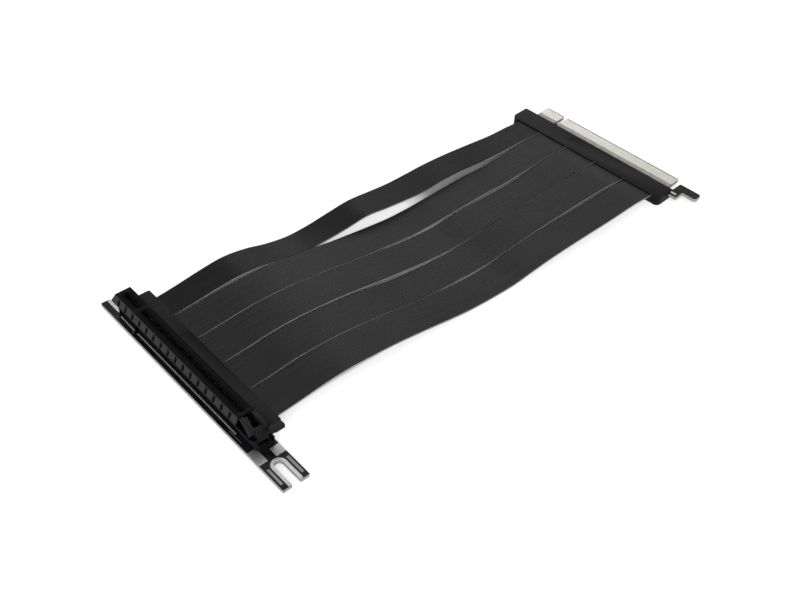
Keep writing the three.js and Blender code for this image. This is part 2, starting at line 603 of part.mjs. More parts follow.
function socketMoulding() {
  const plan = roundedPlan(
    SOCKET_MOULD_LEFT,
    SOCKET_MOULD_RIGHT,
    SOCKET_MOULD_FRONT,
    SOCKET_MOULD_BACK,
    [MOULD_CORNER, MOULD_CORNER, MOULD_CORNER, MOULD_CORNER],
  );
  const size = { plan, bottom: -BOARD_THICKNESS - SOCKET_MOULD_UNDER, top: SOCKET_MOULD_TOP };
  const ribbonTop = RIBBON_TOP_AT_SLOT - SLOT_BOARD_TOP;
  const boardCut = block(
    TONGUE_LEFT - SEAT_GAP,
    TONGUE_RIGHT + SEAT_GAP,
    SOCKET_MOULD_FRONT - 1,
    TONGUE_END + SEAT_GAP,
    -BOARD_THICKNESS - SEAT_GAP,
    SEAT_GAP,
  );
  const endsCut = block(
    RIBBON_EDGES_AT_SLOT[0] - SEAT_GAP,
    RIBBON_EDGES_AT_SLOT[5] + SEAT_GAP,
    SOCKET_MOULD_FRONT + MOULD_WALL,
    SOCKET_MOULD_BACK - RIBBON_HOLD,
    0,
    ribbonTop,
  );
  const mouth = ribbonMouth(
    RIBBON_EDGES_AT_SLOT,
    SOCKET_MOULD_BACK - RIBBON_HOLD - SEAT_GAP,
    SOCKET_MOULD_BACK + 1,
    ribbonTop - RIBBON_THICKNESS - SEAT_GAP,
    ribbonTop + SEAT_GAP,
  );
  const label = block(
    SLOT_LABEL_LEFT,
    SLOT_LABEL_LEFT + LABEL_LENGTH,
    SOCKET_MOULD_FRONT + SLOT_LABEL_FRONT,
    SOCKET_MOULD_BACK - SLOT_LABEL_BACK,
    SOCKET_MOULD_TOP - LABEL_DEPTH,
    SOCKET_MOULD_TOP + 1,
  );
  const wholeBoard = block(
    SOCKET_MOULD_LEFT - 1,
    SOCKET_MOULD_RIGHT + 1,
    SOCKET_MOULD_FRONT - 1,
    BOARD_HALF + SEAT_GAP,
    -BOARD_THICKNESS - SEAT_GAP,
    SEAT_GAP,
  );
  return moulding(size, [boardCut, wholeBoard, endsCut, mouth, label]);
}

// The plug's board: short and long tongue with the key notch between, and the tail hook.
function plugBoard() {
  const lead = TONGUE_LEAD;
  const longLeft = LONG_TONGUE_LEFT;
  const longRight = LONG_TONGUE_RIGHT;
  const shoulder = -PLUG_MOULD_FRONT - PLUG_BOARD_INSET;
  const quarter = Math.PI / 2;
  const round = HOOK_CORNER;
  const shape = new THREE.Shape();
  shape.moveTo(0, -lead);
  shape.lineTo(lead, 0);
  shape.lineTo(SHORT_TONGUE - lead, 0);
  shape.lineTo(SHORT_TONGUE, -lead);
  shape.absarc(
    SHORT_TONGUE + TONGUE_NOTCH / 2,
    TONGUE_NOTCH / 2 - NOTCH_DEPTH,
    TONGUE_NOTCH / 2,
    2 * quarter,
    4 * quarter,
  );
  shape.lineTo(longLeft, -lead);
  shape.lineTo(longLeft + lead, 0);
  shape.lineTo(longRight - lead, 0);
  shape.lineTo(longRight, -lead);
  shape.lineTo(longRight, -TONGUE_DEPTH);
  shape.lineTo(HOOK_STEM_LEFT, -TONGUE_DEPTH);
  shape.lineTo(HOOK_STEM_LEFT, -HOOK_TOP - lead);
  shape.lineTo(HOOK_STEM_LEFT + lead, -HOOK_TOP);
  shape.absarc(HOOK_END - round, -HOOK_TOP - round, round, quarter, 0, true);
  shape.absarc(HOOK_END - round, -HOOK_UNDER + round, round, 0, -quarter, true);
  shape.lineTo(HOOK_STEM_RIGHT + lead, -HOOK_UNDER);
  shape.lineTo(HOOK_STEM_RIGHT, -HOOK_UNDER - lead);
  shape.lineTo(HOOK_STEM_RIGHT, -STEM_FOOT);
  shape.lineTo(PLUG_BOARD_RIGHT, -STEM_FOOT);
  shape.lineTo(PLUG_BOARD_RIGHT, -PLUG_BOARD_BACK);
  shape.lineTo(PLUG_BOARD_LEFT, -PLUG_BOARD_BACK);
  shape.lineTo(PLUG_BOARD_LEFT, shoulder);
  shape.lineTo(0, shoulder);
  return raised(shape, -BOARD_THICKNESS, 0);
}

function plugMoulding() {
  const back = -PLUG_MOULD_BACK;
  const front = -PLUG_MOULD_FRONT;
  const plan = roundedPlan(
    PLUG_MOULD_LEFT,
    PLUG_MOULD_RIGHT,
    back,
    front,
    [PLUG_MOULD_CORNER, PLUG_MOULD_CORNER, MOULD_CORNER, MOULD_CORNER],
  );
  const size = { plan, bottom: -PLUG_BOARD_TOP, top: PLUG_MOULD_TOP };
  const ribbonTop = RIBBON_ROUTES[0].left.at(-1) - PLUG_BOARD_TOP;
  const boardCut = block(
    PLUG_BOARD_LEFT - SEAT_GAP,
    PLUG_BOARD_RIGHT + SEAT_GAP,
    -PLUG_BOARD_BACK - SEAT_GAP,
    front - PLUG_BOARD_INSET + SEAT_GAP,
    -BOARD_THICKNESS - SEAT_GAP,
    SEAT_GAP,
  );
  const tongueCut = block(
    -SEAT_GAP,
    PLUG_MOULD_RIGHT + 1,
    -STEM_FOOT - SEAT_GAP,
    front + 1,
    -BOARD_THICKNESS - SEAT_GAP,
    SEAT_GAP,
  );
  const endsCut = block(
    RIBBON_EDGES_AT_PLUG[0] - SEAT_GAP,
    RIBBON_EDGES_AT_PLUG[5] + SEAT_GAP,
    back + RIBBON_HOLD,
    front - MOULD_WALL,
    0,
    ribbonTop,
  );
  const mouth = ribbonMouth(
    RIBBON_EDGES_AT_PLUG,
    back - 1,
    back + RIBBON_HOLD + SEAT_GAP,
    ribbonTop - RIBBON_THICKNESS - SEAT_GAP,
    ribbonTop + SEAT_GAP,
  );
  const label = block(
    PLUG_LABEL_LEFT,
    PLUG_LABEL_LEFT + LABEL_LENGTH,
    back + PLUG_LABEL_BACK,
    front - PLUG_LABEL_FRONT,
    PLUG_MOULD_TOP - LABEL_DEPTH,
    PLUG_MOULD_TOP + 1,
  );
  return moulding(size, [boardCut, tongueCut, endsCut, mouth, label]);
}

// The soldered end of one ribbon: bared conductors on their pads, joined by the ground bar.
// It is drawn for a ribbon that comes from +Y; turned is -1 where the ribbon comes from -Y.
function ribbonEnd(x0, x1, ribbonFace, ribbonMiddle, turned) {
  const low = SEAT_GAP;
  const high = low + CONDUCTOR_THICKNESS;
  const start = ribbonFace - turned * SEAT_GAP;
  const at = (distance) => start - turned * distance;
  const lift = ribbonMiddle + CONDUCTOR_THICKNESS / 2;
  const section = [
    [at(0), lift],
    [at(CONDUCTOR_SLOPE), high],
    [at(CONDUCTOR_SLOPE + FOOT_LENGTH), high],
    [at(CONDUCTOR_SLOPE + FOOT_LENGTH), low],
    [at(CONDUCTOR_SLOPE - 0.1), low],
    [at(0), lift - CONDUCTOR_THICKNESS],
  ];
  const count = Math.floor((x1 - x0 - CONDUCTOR_WIDTH) / CONDUCTOR_PITCH);
  const first = (x0 + x1 - count * CONDUCTOR_PITCH) / 2;
  const conductors = [];
  for (let i = 0; i <= count; i += 1) {
    const x = first + i * CONDUCTOR_PITCH;
    conductors.push(alongX(section, x - CONDUCTOR_WIDTH / 2, x + CONDUCTOR_WIDTH / 2));
  }
  const barEdges = [at(GROUND_BAR_OFFSET), at(GROUND_BAR_OFFSET + GROUND_BAR)].sort((a, b) => a - b);
  const half = CONDUCTOR_WIDTH / 2;
  const barTop = high + GROUND_BAR_RISE;
  const bar = block(first - half, first + count * CONDUCTOR_PITCH + half, ...barEdges, low + 0.1, barTop);
  return geometryOf(solidOf(...conductors).add(solidOf(bar)));
}

// A height along a route, as a smooth curve through its evenly spaced points.
function heightCurve(heights) {
  const last = heights.length - 1;
  return new THREE.SplineCurve(heights.map((height, i) => new THREE.Vector2(i / last, height)));
}

// A ribbon's edge in plan: it leaves each moulding square to its face.
function edgeInPlan(start, end, endAngle) {
  const reach = start.distanceTo(end) / 3;
  return new THREE.CubicBezierCurve(
    start,
    new THREE.Vector2(start.x, start.y + reach),
    new THREE.Vector2(end.x + reach * Math.sin(endAngle), end.y - reach * Math.cos(endAngle)),
    end,
  );
}

// A point of the plug's own plan, in the plan of the whole cable.
function fromPlug(x, y) {
  const angle = THREE.MathUtils.degToRad(PLUG_TURN);
  return new THREE.Vector2(
    PLUG_X + x * Math.cos(angle) - y * Math.sin(angle),
    PLUG_Y + x * Math.sin(angle) + y * Math.cos(angle),
  );
}

// One flat ribbon, from inside one moulding to inside the other.
function ribbon(index) {
  const angle = THREE.MathUtils.degToRad(PLUG_TURN);
  const route = RIBBON_ROUTES[index];
  const sides = [
    { at: 0, shift: RIBBON_GAP / 2, heights: route.left },
    { at: 1, shift: -RIBBON_GAP / 2, heights: route.right ?? route.left },
  ].map(({ at, shift, heights }) => {
    const slotX = RIBBON_EDGES_AT_SLOT[index + at] + shift;
    const plugX = RIBBON_EDGES_AT_PLUG[index + at] + shift;
    return {
      inSlot: new THREE.Vector2(slotX, SOCKET_MOULD_BACK - RIBBON_HOLD),
      plan: edgeInPlan(new THREE.Vector2(slotX, SOCKET_MOULD_BACK), fromPlug(plugX, -PLUG_MOULD_BACK), angle),
      inPlug: fromPlug(plugX, RIBBON_HOLD - PLUG_MOULD_BACK),
      height: heightCurve(heights),
      first: heights[0],
      last: heights.at(-1),
    };
  });
  const ring = (points) => {
    const [left, right] = points;
    const down = ({ x, y, z, lean }) => new THREE.Vector3(
      x,
      y + RIBBON_THICKNESS * lean / Math.hypot(1, lean),
      z - RIBBON_THICKNESS / Math.hypot(1, lean),
    );
    const top = ({ x, y, z }) => new THREE.Vector3(x, y, z);
    return [down(left), top(left), top(right), down(right)];
  };
  const flat = (point, z) => ({ x: point.x, y: point.y, z, lean: 0 });
  const rings = [ring(sides.map((side) => flat(side.inSlot, side.first)))];
  for (let step = 0; step <= RIBBON_STEPS; step += 1) {
    const t = step / RIBBON_STEPS;
    const ends = step === 0 || step === RIBBON_STEPS;
    rings.push(ring(sides.map((side) => {
      const point = side.plan.getPoint(t);
      const nudge = 0.01;
      const rise = side.height.getPoint(Math.min(t + nudge, 1)).y - side.height.getPoint(Math.max(t - nudge, 0)).y;
      const run = side.plan.getLength() * (Math.min(t + nudge, 1) - Math.max(t - nudge, 0));
      return { x: point.x, y: point.y, z: side.height.getPoint(t).y, lean: ends ? 0 : rise / run };
    })));
  }
  rings.push(ring(sides.map((side) => flat(side.inPlug, side.last))));
  return loft(rings);
}

function plastic(color, roughness) {
  return new THREE.MeshStandardMaterial({ color, roughness, metalness: 0, flatShading: true });
}

const HOUSING_BLACK = plastic(0x17171a, 0.45);
const MOULDING_GREY = plastic(0x3c3c40, 0.55);
const LATCH_BLACK = plastic(0x2c2c30, 0.5);
const RIBBON_BLACK = plastic(0x1c1c20, 0.5);
const BOARD_BLACK = plastic(0x101014, 0.4);
const TINNED = new THREE.MeshStandardMaterial({ color: 0xc9c9c4, roughness: 0.35, metalness: 0.9, flatShading: true });

function named(name, geometry, material) {
  const mesh = new THREE.Mesh(geometry, material.clone());
  mesh.name = name;
  return mesh;
}

const socketEnd = new THREE.Group();
socketEnd.position.set(0, 0, SLOT_BOARD_TOP);
socketEnd.add(
  named("slot_board", slotBoard(), BOARD_BLACK),
  named("slot_housing", slotHousing(), HOUSING_BLACK),
  named("latch", latch(), LATCH_BLACK),
  named("slot_moulding", socketMoulding(), MOULDING_GREY),
);

const plugEnd = new THREE.Group();
plugEnd.position.set(PLUG_X, PLUG_Y, PLUG_BOARD_TOP);
plugEnd.rotation.z = THREE.MathUtils.degToRad(PLUG_TURN);
plugEnd.add(
  named("plug_board", plugBoard(), BOARD_BLACK),
  named("plug_moulding", plugMoulding(), MOULDING_GREY),
);

const cable = new THREE.Group();
for (let i = 0; i < RIBBON_ROUTES.length; i += 1) {
  const slotFace = SOCKET_MOULD_BACK - RIBBON_HOLD;
  const plugFace = RIBBON_HOLD - PLUG_MOULD_BACK;
  const slotMiddle = RIBBON_TOP_AT_SLOT - RIBBON_THICKNESS / 2 - SLOT_BOARD_TOP;
  const plugMiddle = RIBBON_ROUTES[i].left.at(-1) - RIBBON_THICKNESS / 2 - PLUG_BOARD_TOP;
  const slotEdges = [RIBBON_EDGES_AT_SLOT[i] + RIBBON_GAP, RIBBON_EDGES_AT_SLOT[i + 1] - RIBBON_GAP];
  const plugEdges = [RIBBON_EDGES_AT_PLUG[i] + RIBBON_GAP, RIBBON_EDGES_AT_PLUG[i + 1] - RIBBON_GAP];
  cable.add(named(`ribbon_${i + 1}`, ribbon(i), RIBBON_BLACK));
  socketEnd.add(named(`slot_solder_end_${i + 1}`, ribbonEnd(...slotEdges, slotFace, slotMiddle, 1), TINNED));
  plugEnd.add(named(`plug_solder_end_${i + 1}`, ribbonEnd(...plugEdges, plugFace, plugMiddle, -1), TINNED));
}

const riser = new THREE.Group();
riser.add(socketEnd, plugEnd, cable);
riser.updateMatrixWorld(true);
const extent = new THREE.Box3().setFromObject(riser, true);
riser.position.set(-(extent.min.x + extent.max.x) / 2, -(extent.min.y + extent.max.y) / 2, 0);

export default riser;
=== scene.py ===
"""Looks of a riser cable for a graphics card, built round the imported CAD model.

The cable lies flat: a sixteen-lane card slot on a small board at the near end, five flat
ribbons, and an edge plug on a second board at the far end. Sizes are in millimetres and
become metres where a mesh is made. X runs along the slot, Y along the ribbons, Z up.
"""

import logging  # noqa: E402
import math  # noqa: E402
from dataclasses import dataclass  # noqa: E402
from enum import Enum  # noqa: E402
from typing import Optional, Sequence  # noqa: E402

import bmesh  # noqa: E402
import bpy  # noqa: E402
from mathutils import Matrix, Vector  # noqa: E402


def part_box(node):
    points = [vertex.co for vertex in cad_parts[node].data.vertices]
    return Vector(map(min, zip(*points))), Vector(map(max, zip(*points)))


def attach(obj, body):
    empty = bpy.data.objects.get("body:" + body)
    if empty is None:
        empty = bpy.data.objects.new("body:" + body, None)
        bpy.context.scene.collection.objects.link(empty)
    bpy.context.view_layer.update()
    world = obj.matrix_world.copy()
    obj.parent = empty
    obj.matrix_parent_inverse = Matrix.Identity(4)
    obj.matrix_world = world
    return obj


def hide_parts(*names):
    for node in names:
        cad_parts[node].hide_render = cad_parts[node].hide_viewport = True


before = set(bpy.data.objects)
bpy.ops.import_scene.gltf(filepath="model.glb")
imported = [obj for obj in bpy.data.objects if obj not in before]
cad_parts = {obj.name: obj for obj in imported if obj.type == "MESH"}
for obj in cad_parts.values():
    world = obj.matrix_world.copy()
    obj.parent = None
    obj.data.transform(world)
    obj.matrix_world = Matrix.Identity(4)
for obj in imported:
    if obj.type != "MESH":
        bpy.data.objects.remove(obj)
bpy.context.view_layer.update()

log = logging.getLogger("riser_cable")

MM = 0.001
Point = tuple[float, float, float]
Colour = tuple[float, float, float]
Outline = list[tuple[float, float]]


class Body(Enum):
    """The two rigid bodies of the cable."""

    CABLE = "cable"
    LATCH = "latch"


class Slot(Enum):
    """The material slots of the part's record."""

    SLOT = "slot_plastic"
    LATCH = "latch_plastic"
    MOULDING = "moulding"
    RIBBON = "ribbon_jacket"
    BOARD = "board"
    METAL = "tinned_copper"


# Node trees


def feed_node(tree: bpy.types.NodeTree, node: bpy.types.Node, inputs: dict[object, object]) -> None:
    """Feeds a node's inputs, by name or index, with values, sockets or Wires."""
    for key, value in inputs.items():
        source = value.socket if isinstance(value, Wire) else value
        if isinstance(source, bpy.types.NodeSocket):
            tree.links.new(source, node.inputs[key])
        else:
            node.inputs[key].default_value = source


def add_node(
    tree: bpy.types.NodeTree, kind: str, settings: dict[str, object], inputs: dict[object, object]
) -> bpy.types.Node:
    """Adds a node to a tree, sets it up and feeds it.

    Args:
        tree: the tree.
        kind: the node's type.
        settings: attributes to set before the inputs.
        inputs: values, sockets or Wires by the input's name or index.

    Returns:
        The node.
    """
    made = tree.nodes.new(kind)
    for key, value in settings.items():
        setattr(made, key, value)
    feed_node(tree, made, inputs)
    return made


class Wire:
    """A shader socket that takes part in arithmetic."""

    def __init__(self, tree: bpy.types.NodeTree, socket: bpy.types.NodeSocket) -> None:
        """Keeps the tree that new nodes go into, and the socket."""
        self.tree = tree
        self.socket = socket

    def _math(self, operation: str, first: object, second: object, clamp: bool = False) -> "Wire":
        """The result of one Math node from two Wires or numbers, kept from 0 to 1 if clamped."""
        settings = {"operation": operation, "use_clamp": clamp}
        node = add_node(self.tree, "ShaderNodeMath", settings, {0: first, 1: second})
        return Wire(self.tree, node.outputs[0])

    def __add__(self, other: object) -> "Wire":
        """Adds."""
        return self._math("ADD", self, other)

    __radd__ = __add__

    def __sub__(self, other: object) -> "Wire":
        """Subtracts."""
        return self._math("SUBTRACT", self, other)

    def __rsub__(self, other: object) -> "Wire":
        """Subtracts from a number."""
        return self._math("SUBTRACT", other, self)

    def __mul__(self, other: object) -> "Wire":
        """Multiplies."""
        return self._math("MULTIPLY", self, other)

    def above(self, edge: float, blur: float) -> "Wire":
        """Rises from 0 to 1 round an edge.

        Args:
            edge: where the result is a half.
            blur: half the width of the rise.

        Returns:
            A mask from 0 to 1.
        """
        return self._math("MULTIPLY", self - (edge - blur), 0.5 / blur, clamp=True)


class Palette:
    """Builds one node material around a Principled shader."""

    def __init__(self, name: str) -> None:
        """Starts an empty material with its shader and its Object coordinates."""
        self.material = bpy.data.materials.new(name)
        self.material.use_nodes = True
        self.tree = self.material.node_tree
        self.tree.nodes.clear()
        self.shader = self.tree.nodes.new("ShaderNodeBsdfPrincipled")
        self.node("ShaderNodeOutputMaterial", {}, {"Surface": self.shader.outputs[0]})
        self.place = Wire(self.tree, self.tree.nodes.new("ShaderNodeTexCoord").outputs["Object"])

    def node(self, kind: str, settings: dict[str, object], inputs: dict[object, object]) -> bpy.types.Node:
        """Adds a node to the material."""
        return add_node(self.tree, kind, settings, inputs)

    def scaled(self, factors: Point) -> Wire:
        """The Object coordinates, stretched along each axis."""
        mapping = self.node("ShaderNodeMapping", {}, {"Vector": self.place, "Scale": factors})
        return Wire(self.tree, mapping.outputs[0])

    def noise(self, scale: float, detail: float, where: Optional[Wire] = None) -> Wire:
        """A noise from 0 to 1.

        Args:
            scale: cells for each metre.
            detail: how many finer layers it has.
            where: coordinates, or the Object coordinates if None.

        Returns:
            The noise value.
        """
        inputs = {"Vector": where or self.place, "Scale": scale, "Detail": detail, "Roughness": 0.55}
        made = self.node("ShaderNodeTexNoise", {"noise_dimensions": "3D"}, inputs)
        return Wire(self.tree, made.outputs[0])

    def mix(self, mask: Wire, low: Colour, high: Colour) -> Wire:
        """Blends two colours by a mask."""
        inputs = {0: mask, 6: (*low, 1.0), 7: (*high, 1.0)}
        made = self.node("ShaderNodeMix", {"data_type": "RGBA"}, inputs)
        return Wire(self.tree, made.outputs[2])

    def feed(self, **inputs: object) -> None:
        """Feeds the shader, with the spaces of its inputs' names written as underscores."""
        feed_node(self.tree, self.shader, {key.replace("_", " "): value for key, value in inputs.items()})

    def bump(self, height: Wire, depth: float) -> None:
        """Raises the surface by a height from 0 to 1, depth in millimetres."""
        inputs = {"Height": height, "Distance": depth * MM, "Strength": 1.0}
        self.feed(Normal=self.node("ShaderNodeBump", {}, inputs).outputs[0])


def grey(value: float, blue: float = 0.0) -> Colour:
    """A grey with a little more blue."""
    return (value, value, value + blue)


@dataclass(frozen=True)
class Plastic:
    """A moulded plastic with fine spark grain and slight wear."""

    name: str
    colour: Colour
    worn: Colour
    roughness: float
    grain: float = 0.012
    specular: float = 0.07

    def build(self) -> bpy.types.Material:
        """Makes the material."""
        make = Palette(self.name)
        cloud = make.noise(90, 4)
        grain = make.noise(5200, 2)
        make.feed(
            Base_Color=make.mix(cloud.above(0.55, 0.3), self.colour, self.worn),
            Roughness=self.roughness + (grain - 0.5) * 0.16 + (cloud - 0.5) * 0.12,
            Specular_IOR_Level=self.specular,
        )
        make.bump(grain, self.grain)
        return make.material


@dataclass(frozen=True)
class Jacket:
    """The ribbons' extruded jacket: satin black, with faint streaks along its length."""

    name: str = "ribbon jacket"
    colour: Colour = (0.009, 0.009, 0.0099)
    streak: Colour = (0.02, 0.02, 0.022)
    roughness: float = 0.34
    specular: float = 0.12

    def build(self) -> bpy.types.Material:
        """Makes the material."""
        make = Palette(self.name)
        streaks = make.noise(1.0, 3, make.scaled((1500, 40, 200)))
        cloud = make.noise(45, 3)
        grain = make.noise(6000, 2)
        make.feed(
            Base_Color=make.mix(streaks.above(0.5, 0.25), self.colour, self.streak),
            Roughness=self.roughness + (streaks - 0.5) * 0.16 + (cloud - 0.5) * 0.2,
            Specular_IOR_Level=self.specular,
        )
        make.bump(grain * 0.5 + streaks * 0.5, 0.012)
        return make.material


@dataclass(frozen=True)
class SolderMask:
    """Black mask over laminate, with the copper traces under it showing faintly."""

    name: str = "black solder mask"
    colour: Colour = (0.0036, 0.0036, 0.0049)
    trace: Colour = (0.009, 0.0095, 0.0121)
    roughness: float = 0.32

    def build(self) -> bpy.types.Material:
        """Makes the material."""
        make = Palette(self.name)
        speckle = make.noise(2600, 2)
        patch = make.noise(160, 1)
        mask = patch.above(0.52, 0.03)
        make.feed(
            Base_Color=make.mix(mask, self.colour, self.trace),
            Roughness=self.roughness + (speckle - 0.5) * 0.14,
            Specular_IOR_Level=0.1,
        )
        make.bump(mask * 0.7 + speckle * 0.3, 0.01)
        return make.material


@dataclass(frozen=True)
class Laminate:
    """The bare glass laminate of a board's cut edge: pale, with fine layers."""

    name: str
    colour: Colour
    layer: Colour

    def build(self) -> bpy.types.Material:
        """Makes the material."""
        make = Palette(self.name)
        layers = make.noise(1.0, 2, make.scaled((300, 300, 5200)))
        weave = make.noise(3000, 2)
        make.feed(
            Base_Color=make.mix(layers.above(0.5, 0.12), self.colour, self.layer),
            Roughness=0.62 + (weave - 0.5) * 0.2,
        )
        make.bump(weave, 0.015)
        return make.material


@dataclass(frozen=True)
class Metal:
    """A plated or tinned metal with small unevenness."""

    name: str
    colour: Colour
    dull: Colour
    roughness: float
    lumps: float

    def build(self) -> bpy.types.Material:
        """Makes the material."""
        make = Palette(self.name)
        cloud = make.noise(700, 3)
        fine = make.noise(6000, 2)
        make.feed(
            Base_Color=make.mix(cloud.above(0.55, 0.2), self.colour, self.dull),
            Roughness=self.roughness + (cloud - 0.5) * 0.2,
            Metallic=1.0,
        )
        make.bump(cloud * 0.7 + fine * 0.3, self.lumps)
        return make.material


class Finishes:
    """Every material of the cable, built once."""

    def __init__(self) -> None:
        """Builds the materials."""
        self.slot_black = Plastic(
            "slot black", grey(0.0045, 0.0005), grey(0.008, 0.0008), 0.4, 0.012, 0.03
        ).build()
        # A lighter copy of the slot's black for the flared skirt walls: painted light where they face the
        # lamps, on the same plastic as the rest.
        self.skirt = Plastic("slot skirt painted light", grey(0.02, 0.001), grey(0.028, 0.002), 0.5, 0.012, 0.12).build()
        self.latch_grey = Plastic("latch black", grey(0.009, 0.0008), grey(0.016, 0.001), 0.42).build()
        self.moulding_grey = Plastic("moulding black", grey(0.006, 0.0005), grey(0.01, 0.001), 0.48).build()
        # A darker copy of the slot's black for the inner walls and the groove floor: painted shade in the
        # recesses, on the same plastic.
        self.slot_recess_painted_shade = Plastic(
            "slot recess painted shade", grey(0.0012, 0.0001), grey(0.0022, 0.0002), 0.8, 0.004, 0.03
        ).build()
        self.jacket = Jacket().build()
        # A darker copy of the jacket for the first ribbon, which has the same jacket as the others: painted
        # shade.
        self.first_ribbon_painted_shade_jacket = Jacket("first ribbon painted shade jacket", grey(0.004, 0.0005), grey(0.01, 0.001), 0.3, 0.1).build()
        # A lighter copy of the black jacket for each ribbon's side that faces +X: a painted highlight, not a
        # different material.
        self.ribbon_side_painted_highlight = Plastic(
            "ribbon side painted highlight", grey(0.24, 0.005), grey(0.32, 0.005), 0.5, 0.02, 0.4
        ).build()
        self.mask = SolderMask().build()
        self.slot_edge = Laminate("slot board edge", (0.36, 0.36, 0.35), (0.27, 0.27, 0.26)).build()
        self.plug_edge = Laminate("plug board edge", (0.4, 0.395, 0.36), (0.31, 0.3, 0.27)).build()
        self.tin = Metal("tin", (0.4, 0.4, 0.395), (0.32, 0.32, 0.32), 0.5, 0.02).build()
        self.spring = Metal("spring contact", (0.3, 0.27, 0.2), (0.2, 0.18, 0.13), 0.4, 0.01).build()
        self.gold = Metal("contact gold", (0.5, 0.49, 0.44), (0.42, 0.41, 0.37), 0.42, 0.004).build()
        self.ink = Plastic("board ink", grey(0.3), grey(0.2), 0.6, 0.004).build()


# Meshes


@dataclass(frozen=True)
class Place:
    """A turned place that a sub-assembly is drawn in, in millimetres."""

    origin: Vector
    turn: float = 0.0

    def matrix(self) -> Matrix:
        """From the sub-assembly's millimetres to the scene's metres."""
        return Matrix.Translation(self.origin) @ Matrix.Rotation(self.turn, 4, "Z") @ Matrix.Scale(MM, 4)

    def point(self, x: float, y: float, z: float) -> Vector:
        """A point of the sub-assembly in the scene's metres."""
        return self.matrix() @ Vector((x, y, z))


HERE = Place(Vector((0, 0, 0)))


def rectangle(x0: float, y0: float, x1: float, y1: float) -> Outline:
    """A rectangle's corners, anticlockwise."""
    return [(x0, y0), (x1, y0), (x1, y1), (x0, y1)]


def evaluated(holder: bpy.types.Object) -> bpy.types.Mesh:
    """The mesh that a curve or an object with modifiers comes out as."""
    graph = bpy.context.evaluated_depsgraph_get()
    graph.update()
    return bpy.data.meshes.new_from_object(holder.evaluated_get(graph), depsgraph=graph)


def cad_mesh(node: str) -> bmesh.types.BMesh:
    """A copy of a CAD node's mesh to work on, with its corners joined."""
    work = bmesh.new()
    work.from_mesh(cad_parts[node].data)
    bmesh.ops.remove_doubles(work, verts=work.verts, dist=0.002 * MM)
    return work


def finish_object(name: str, mesh: bpy.types.Mesh, *materials: bpy.types.Material) -> bpy.types.Object:
    """Links a mesh to the scene as an object at the origin.

    Args:
        name: the piece's name.
        mesh: the mesh in metres.
        materials: its materials, in the order of their slots.

    Returns:
        The new object.
    """
    made = bpy.data.objects.new(name, mesh)
    bpy.context.scene.collection.objects.link(made)
    if materials and mesh.materials:
        mesh.materials.clear()
    for material in materials:
        mesh.materials.append(material)
    return made


